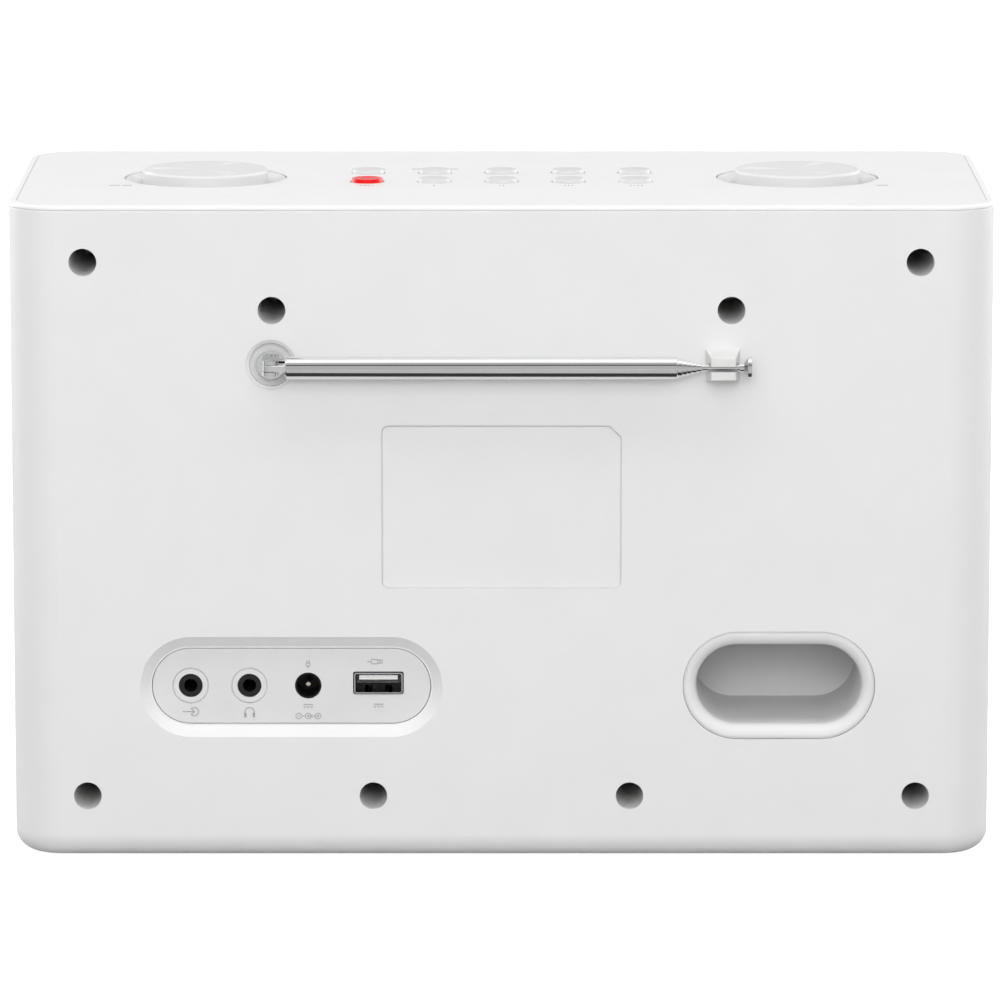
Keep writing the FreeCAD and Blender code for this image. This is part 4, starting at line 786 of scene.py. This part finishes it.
PRINT = 0.012    # thickness of the print, in mm
BEHIND_ROW = 8.5
AHEAD_OF_ROW = 7.4
LINES_OF_PRINT = [[2.6, 3.2, 2.4], [3.4, 2.2, 3.0, 2.6], [2.8, 2.2], [2.2, 3.4], [3.0, 2.4]]


def on_top(cx, cy):
    """A place function for marks printed on the top panel."""
    def place(u, v, rise):
        return Vector((cx + u * MM, cy + v * MM, TOP_Z + rise * MM))
    return place


def dashes(bm, place, lengths, width):
    """A row of short bars, centred, that stands in for a line of print."""
    gap = 0.55
    u = -(sum(lengths) + gap * (len(lengths) - 1)) / 2
    for length in lengths:
        stroke(bm, [(u, 0), (u + length, 0)], width, place, PRINT)
        u += length + gap


def top_marks():
    """Generic print: tally marks behind the rear row, short bars ahead of the front row and by the knobs."""
    bm = bmesh.new()
    cx, cy = middle("power_button")
    place = on_top(cx, cy + BEHIND_ROW * MM)
    stroke(bm, arc(0, 0, 0.75, 125, 415, 20), 0.3, place, PRINT)
    stroke(bm, [(0, 0.1), (0, 1.0)], 0.3, place, PRINT)
    for side in (-1, 1):
        stroke(bm, [(side * 1.3, 0), (side * 1.9, 0)], 0.7, place, PRINT)
    for number in range(2, 6):
        cx, cy = middle(f"rear_button_{number}")
        dashes(bm, on_top(cx, cy + BEHIND_ROW * MM), [0.45] * (number - 1), 1.1)
    for number, lengths in enumerate(LINES_OF_PRINT, 1):
        cx, cy = middle(f"front_button_{number}")
        dashes(bm, on_top(cx, cy - AHEAD_OF_ROW * MM), lengths, 0.9)
    for node, side, lengths in (("select_knob", 1, [2.6, 3.0]), ("volume_knob", -1, [3.2])):
        cx, cy = middle(node)
        dashes(bm, on_top(cx + side * 22.6 * MM, cy + 17.5 * MM), lengths, 0.9)
    add_piece("top_marks", bm, TOP_INK, "cabinet", 50.0)


top_marks()


# ---------------------------------------------------------------- stage

def emitter(name, location, size, target, strength):
    """A rectangular soft light aimed at a point."""
    data = bpy.data.lights.new(name, "AREA")
    data.shape = "RECTANGLE"
    data.size, data.size_y = size
    data.energy = strength
    light = bpy.data.objects.new(name, data)
    light.location = location
    light.rotation_euler = (Vector(target) - Vector(location)).to_track_quat("-Z", "Y").to_euler()
    SCENE.collection.objects.link(light)
    return light


def plain(name, colour, emission=None):
    """A stage surface: pale paper, or a card that only reflections see."""
    finish = Finish(name)
    finish.colour(tone(colour * 0.99), tone(colour), finish.noise(3.0, 2.0))
    finish.roughness(0.85, 0.95, finish.noise(40.0, 2.0))
    if emission is not None:
        finish.shader.inputs["Emission Color"].default_value = (1, 1, 1, 1)
        finish.shader.inputs["Emission Strength"].default_value = emission
    return finish.material


def sheet(name, corners, finish):
    """A flat four-cornered stage surface."""
    mesh = bpy.data.meshes.new(name)
    mesh.from_pydata(corners, [], [(0, 1, 2, 3)])
    mesh.materials.append(finish)
    surface = bpy.data.objects.new(name, mesh)
    SCENE.collection.objects.link(surface)
    return surface


def reflection_only(surface):
    """A card that lights nothing and shows only in glossy surfaces: a painted reflection."""
    surface.visible_camera = False
    surface.visible_diffuse = False
    surface.visible_shadow = False
    surface.visible_transmission = False


def lying_card(name, half_x, y0, y1, z, finish):
    """A level card that only reflections see."""
    corners = [(-half_x, y0, z), (half_x, y0, z), (half_x, y1, z), (-half_x, y1, z)]
    reflection_only(sheet(name, corners, finish))


def standing_card(name, half_x, y, z0, z1, finish):
    """An upright card that only reflections see."""
    corners = [(-half_x, y, z0), (half_x, y, z0), (half_x, y, z1), (-half_x, y, z1)]
    reflection_only(sheet(name, corners, finish))


REAR_CARDS_Y = REAR_Y + 2.4
FRONT_CARD_Y = -2.6
FLOOR_CORNERS = [(-12, -14, 0), (12, -14, 0), (12, 12, 0), (-12, 12, 0)]


def build_stage():
    floor = sheet("floor", FLOOR_CORNERS, plain("floor_paper", 0.92, 0.80))
    floor.visible_diffuse = False
    floor.visible_glossy = False
    bounce = sheet("floor_bounce", [(x, y, -0.002) for x, y, _ in FLOOR_CORNERS], plain("bounce_paper", 0.62))
    bounce.visible_camera = False
    world = bpy.data.worlds.new("studio")
    world.use_nodes = True
    background = world.node_tree.nodes["Background"]
    background.inputs["Color"].default_value = (1.0, 1.0, 1.0, 1)
    background.inputs["Strength"].default_value = 0.46
    SCENE.world = world
    target = (0, 0, 0.09)
    overhead = emitter("overhead", (0.0, REAR_Y + 0.30, 1.20), (1.6, 0.35), target, 4.8)
    emitter("side_left", (1.0, -0.65, 0.35), (0.9, 0.7), target, 7.5)
    emitter("side_right", (-1.0, -0.65, 0.35), (0.9, 0.7), target, 7.5)
    softbox = emitter("rear_softbox", (0.0, 1.9, 1.2), (2.6, 1.1), target, 18.0)
    fill = emitter("rear_fill", (0.0, REAR_Y + 1.65, 0.60), (0.7, 0.5), target, 6.5)
    for light in (overhead, softbox, fill):
        light.visible_glossy = False
    # Reflection-only cards are painted reflections: the dark cards paint dark bands in the chrome, and the
    # grey, white and roof cards glow without lighting anything.
    dark = plain("dark_card", 0.02)
    grey = plain("grey_card", 0.05, 0.42)
    white = plain("white_card", 0.05, 0.70)
    roof = plain("roof_card", 0.05, 1.15)
    lying_card("low_card", 1.2, REAR_Y + 0.001, REAR_Y + 0.13, 0.0005, dark)
    standing_card("rear_card", 4, REAR_CARDS_Y, 0.002, 1.5, grey)
    standing_card("rear_band", 4, REAR_CARDS_Y, 1.55, 2.15, dark)
    standing_card("front_card", 6, FRONT_CARD_Y, 0.002, 2.3, white)
    lying_card("roof_card", 4, -2.5, 1.2, 2.4, roof)


build_stage()
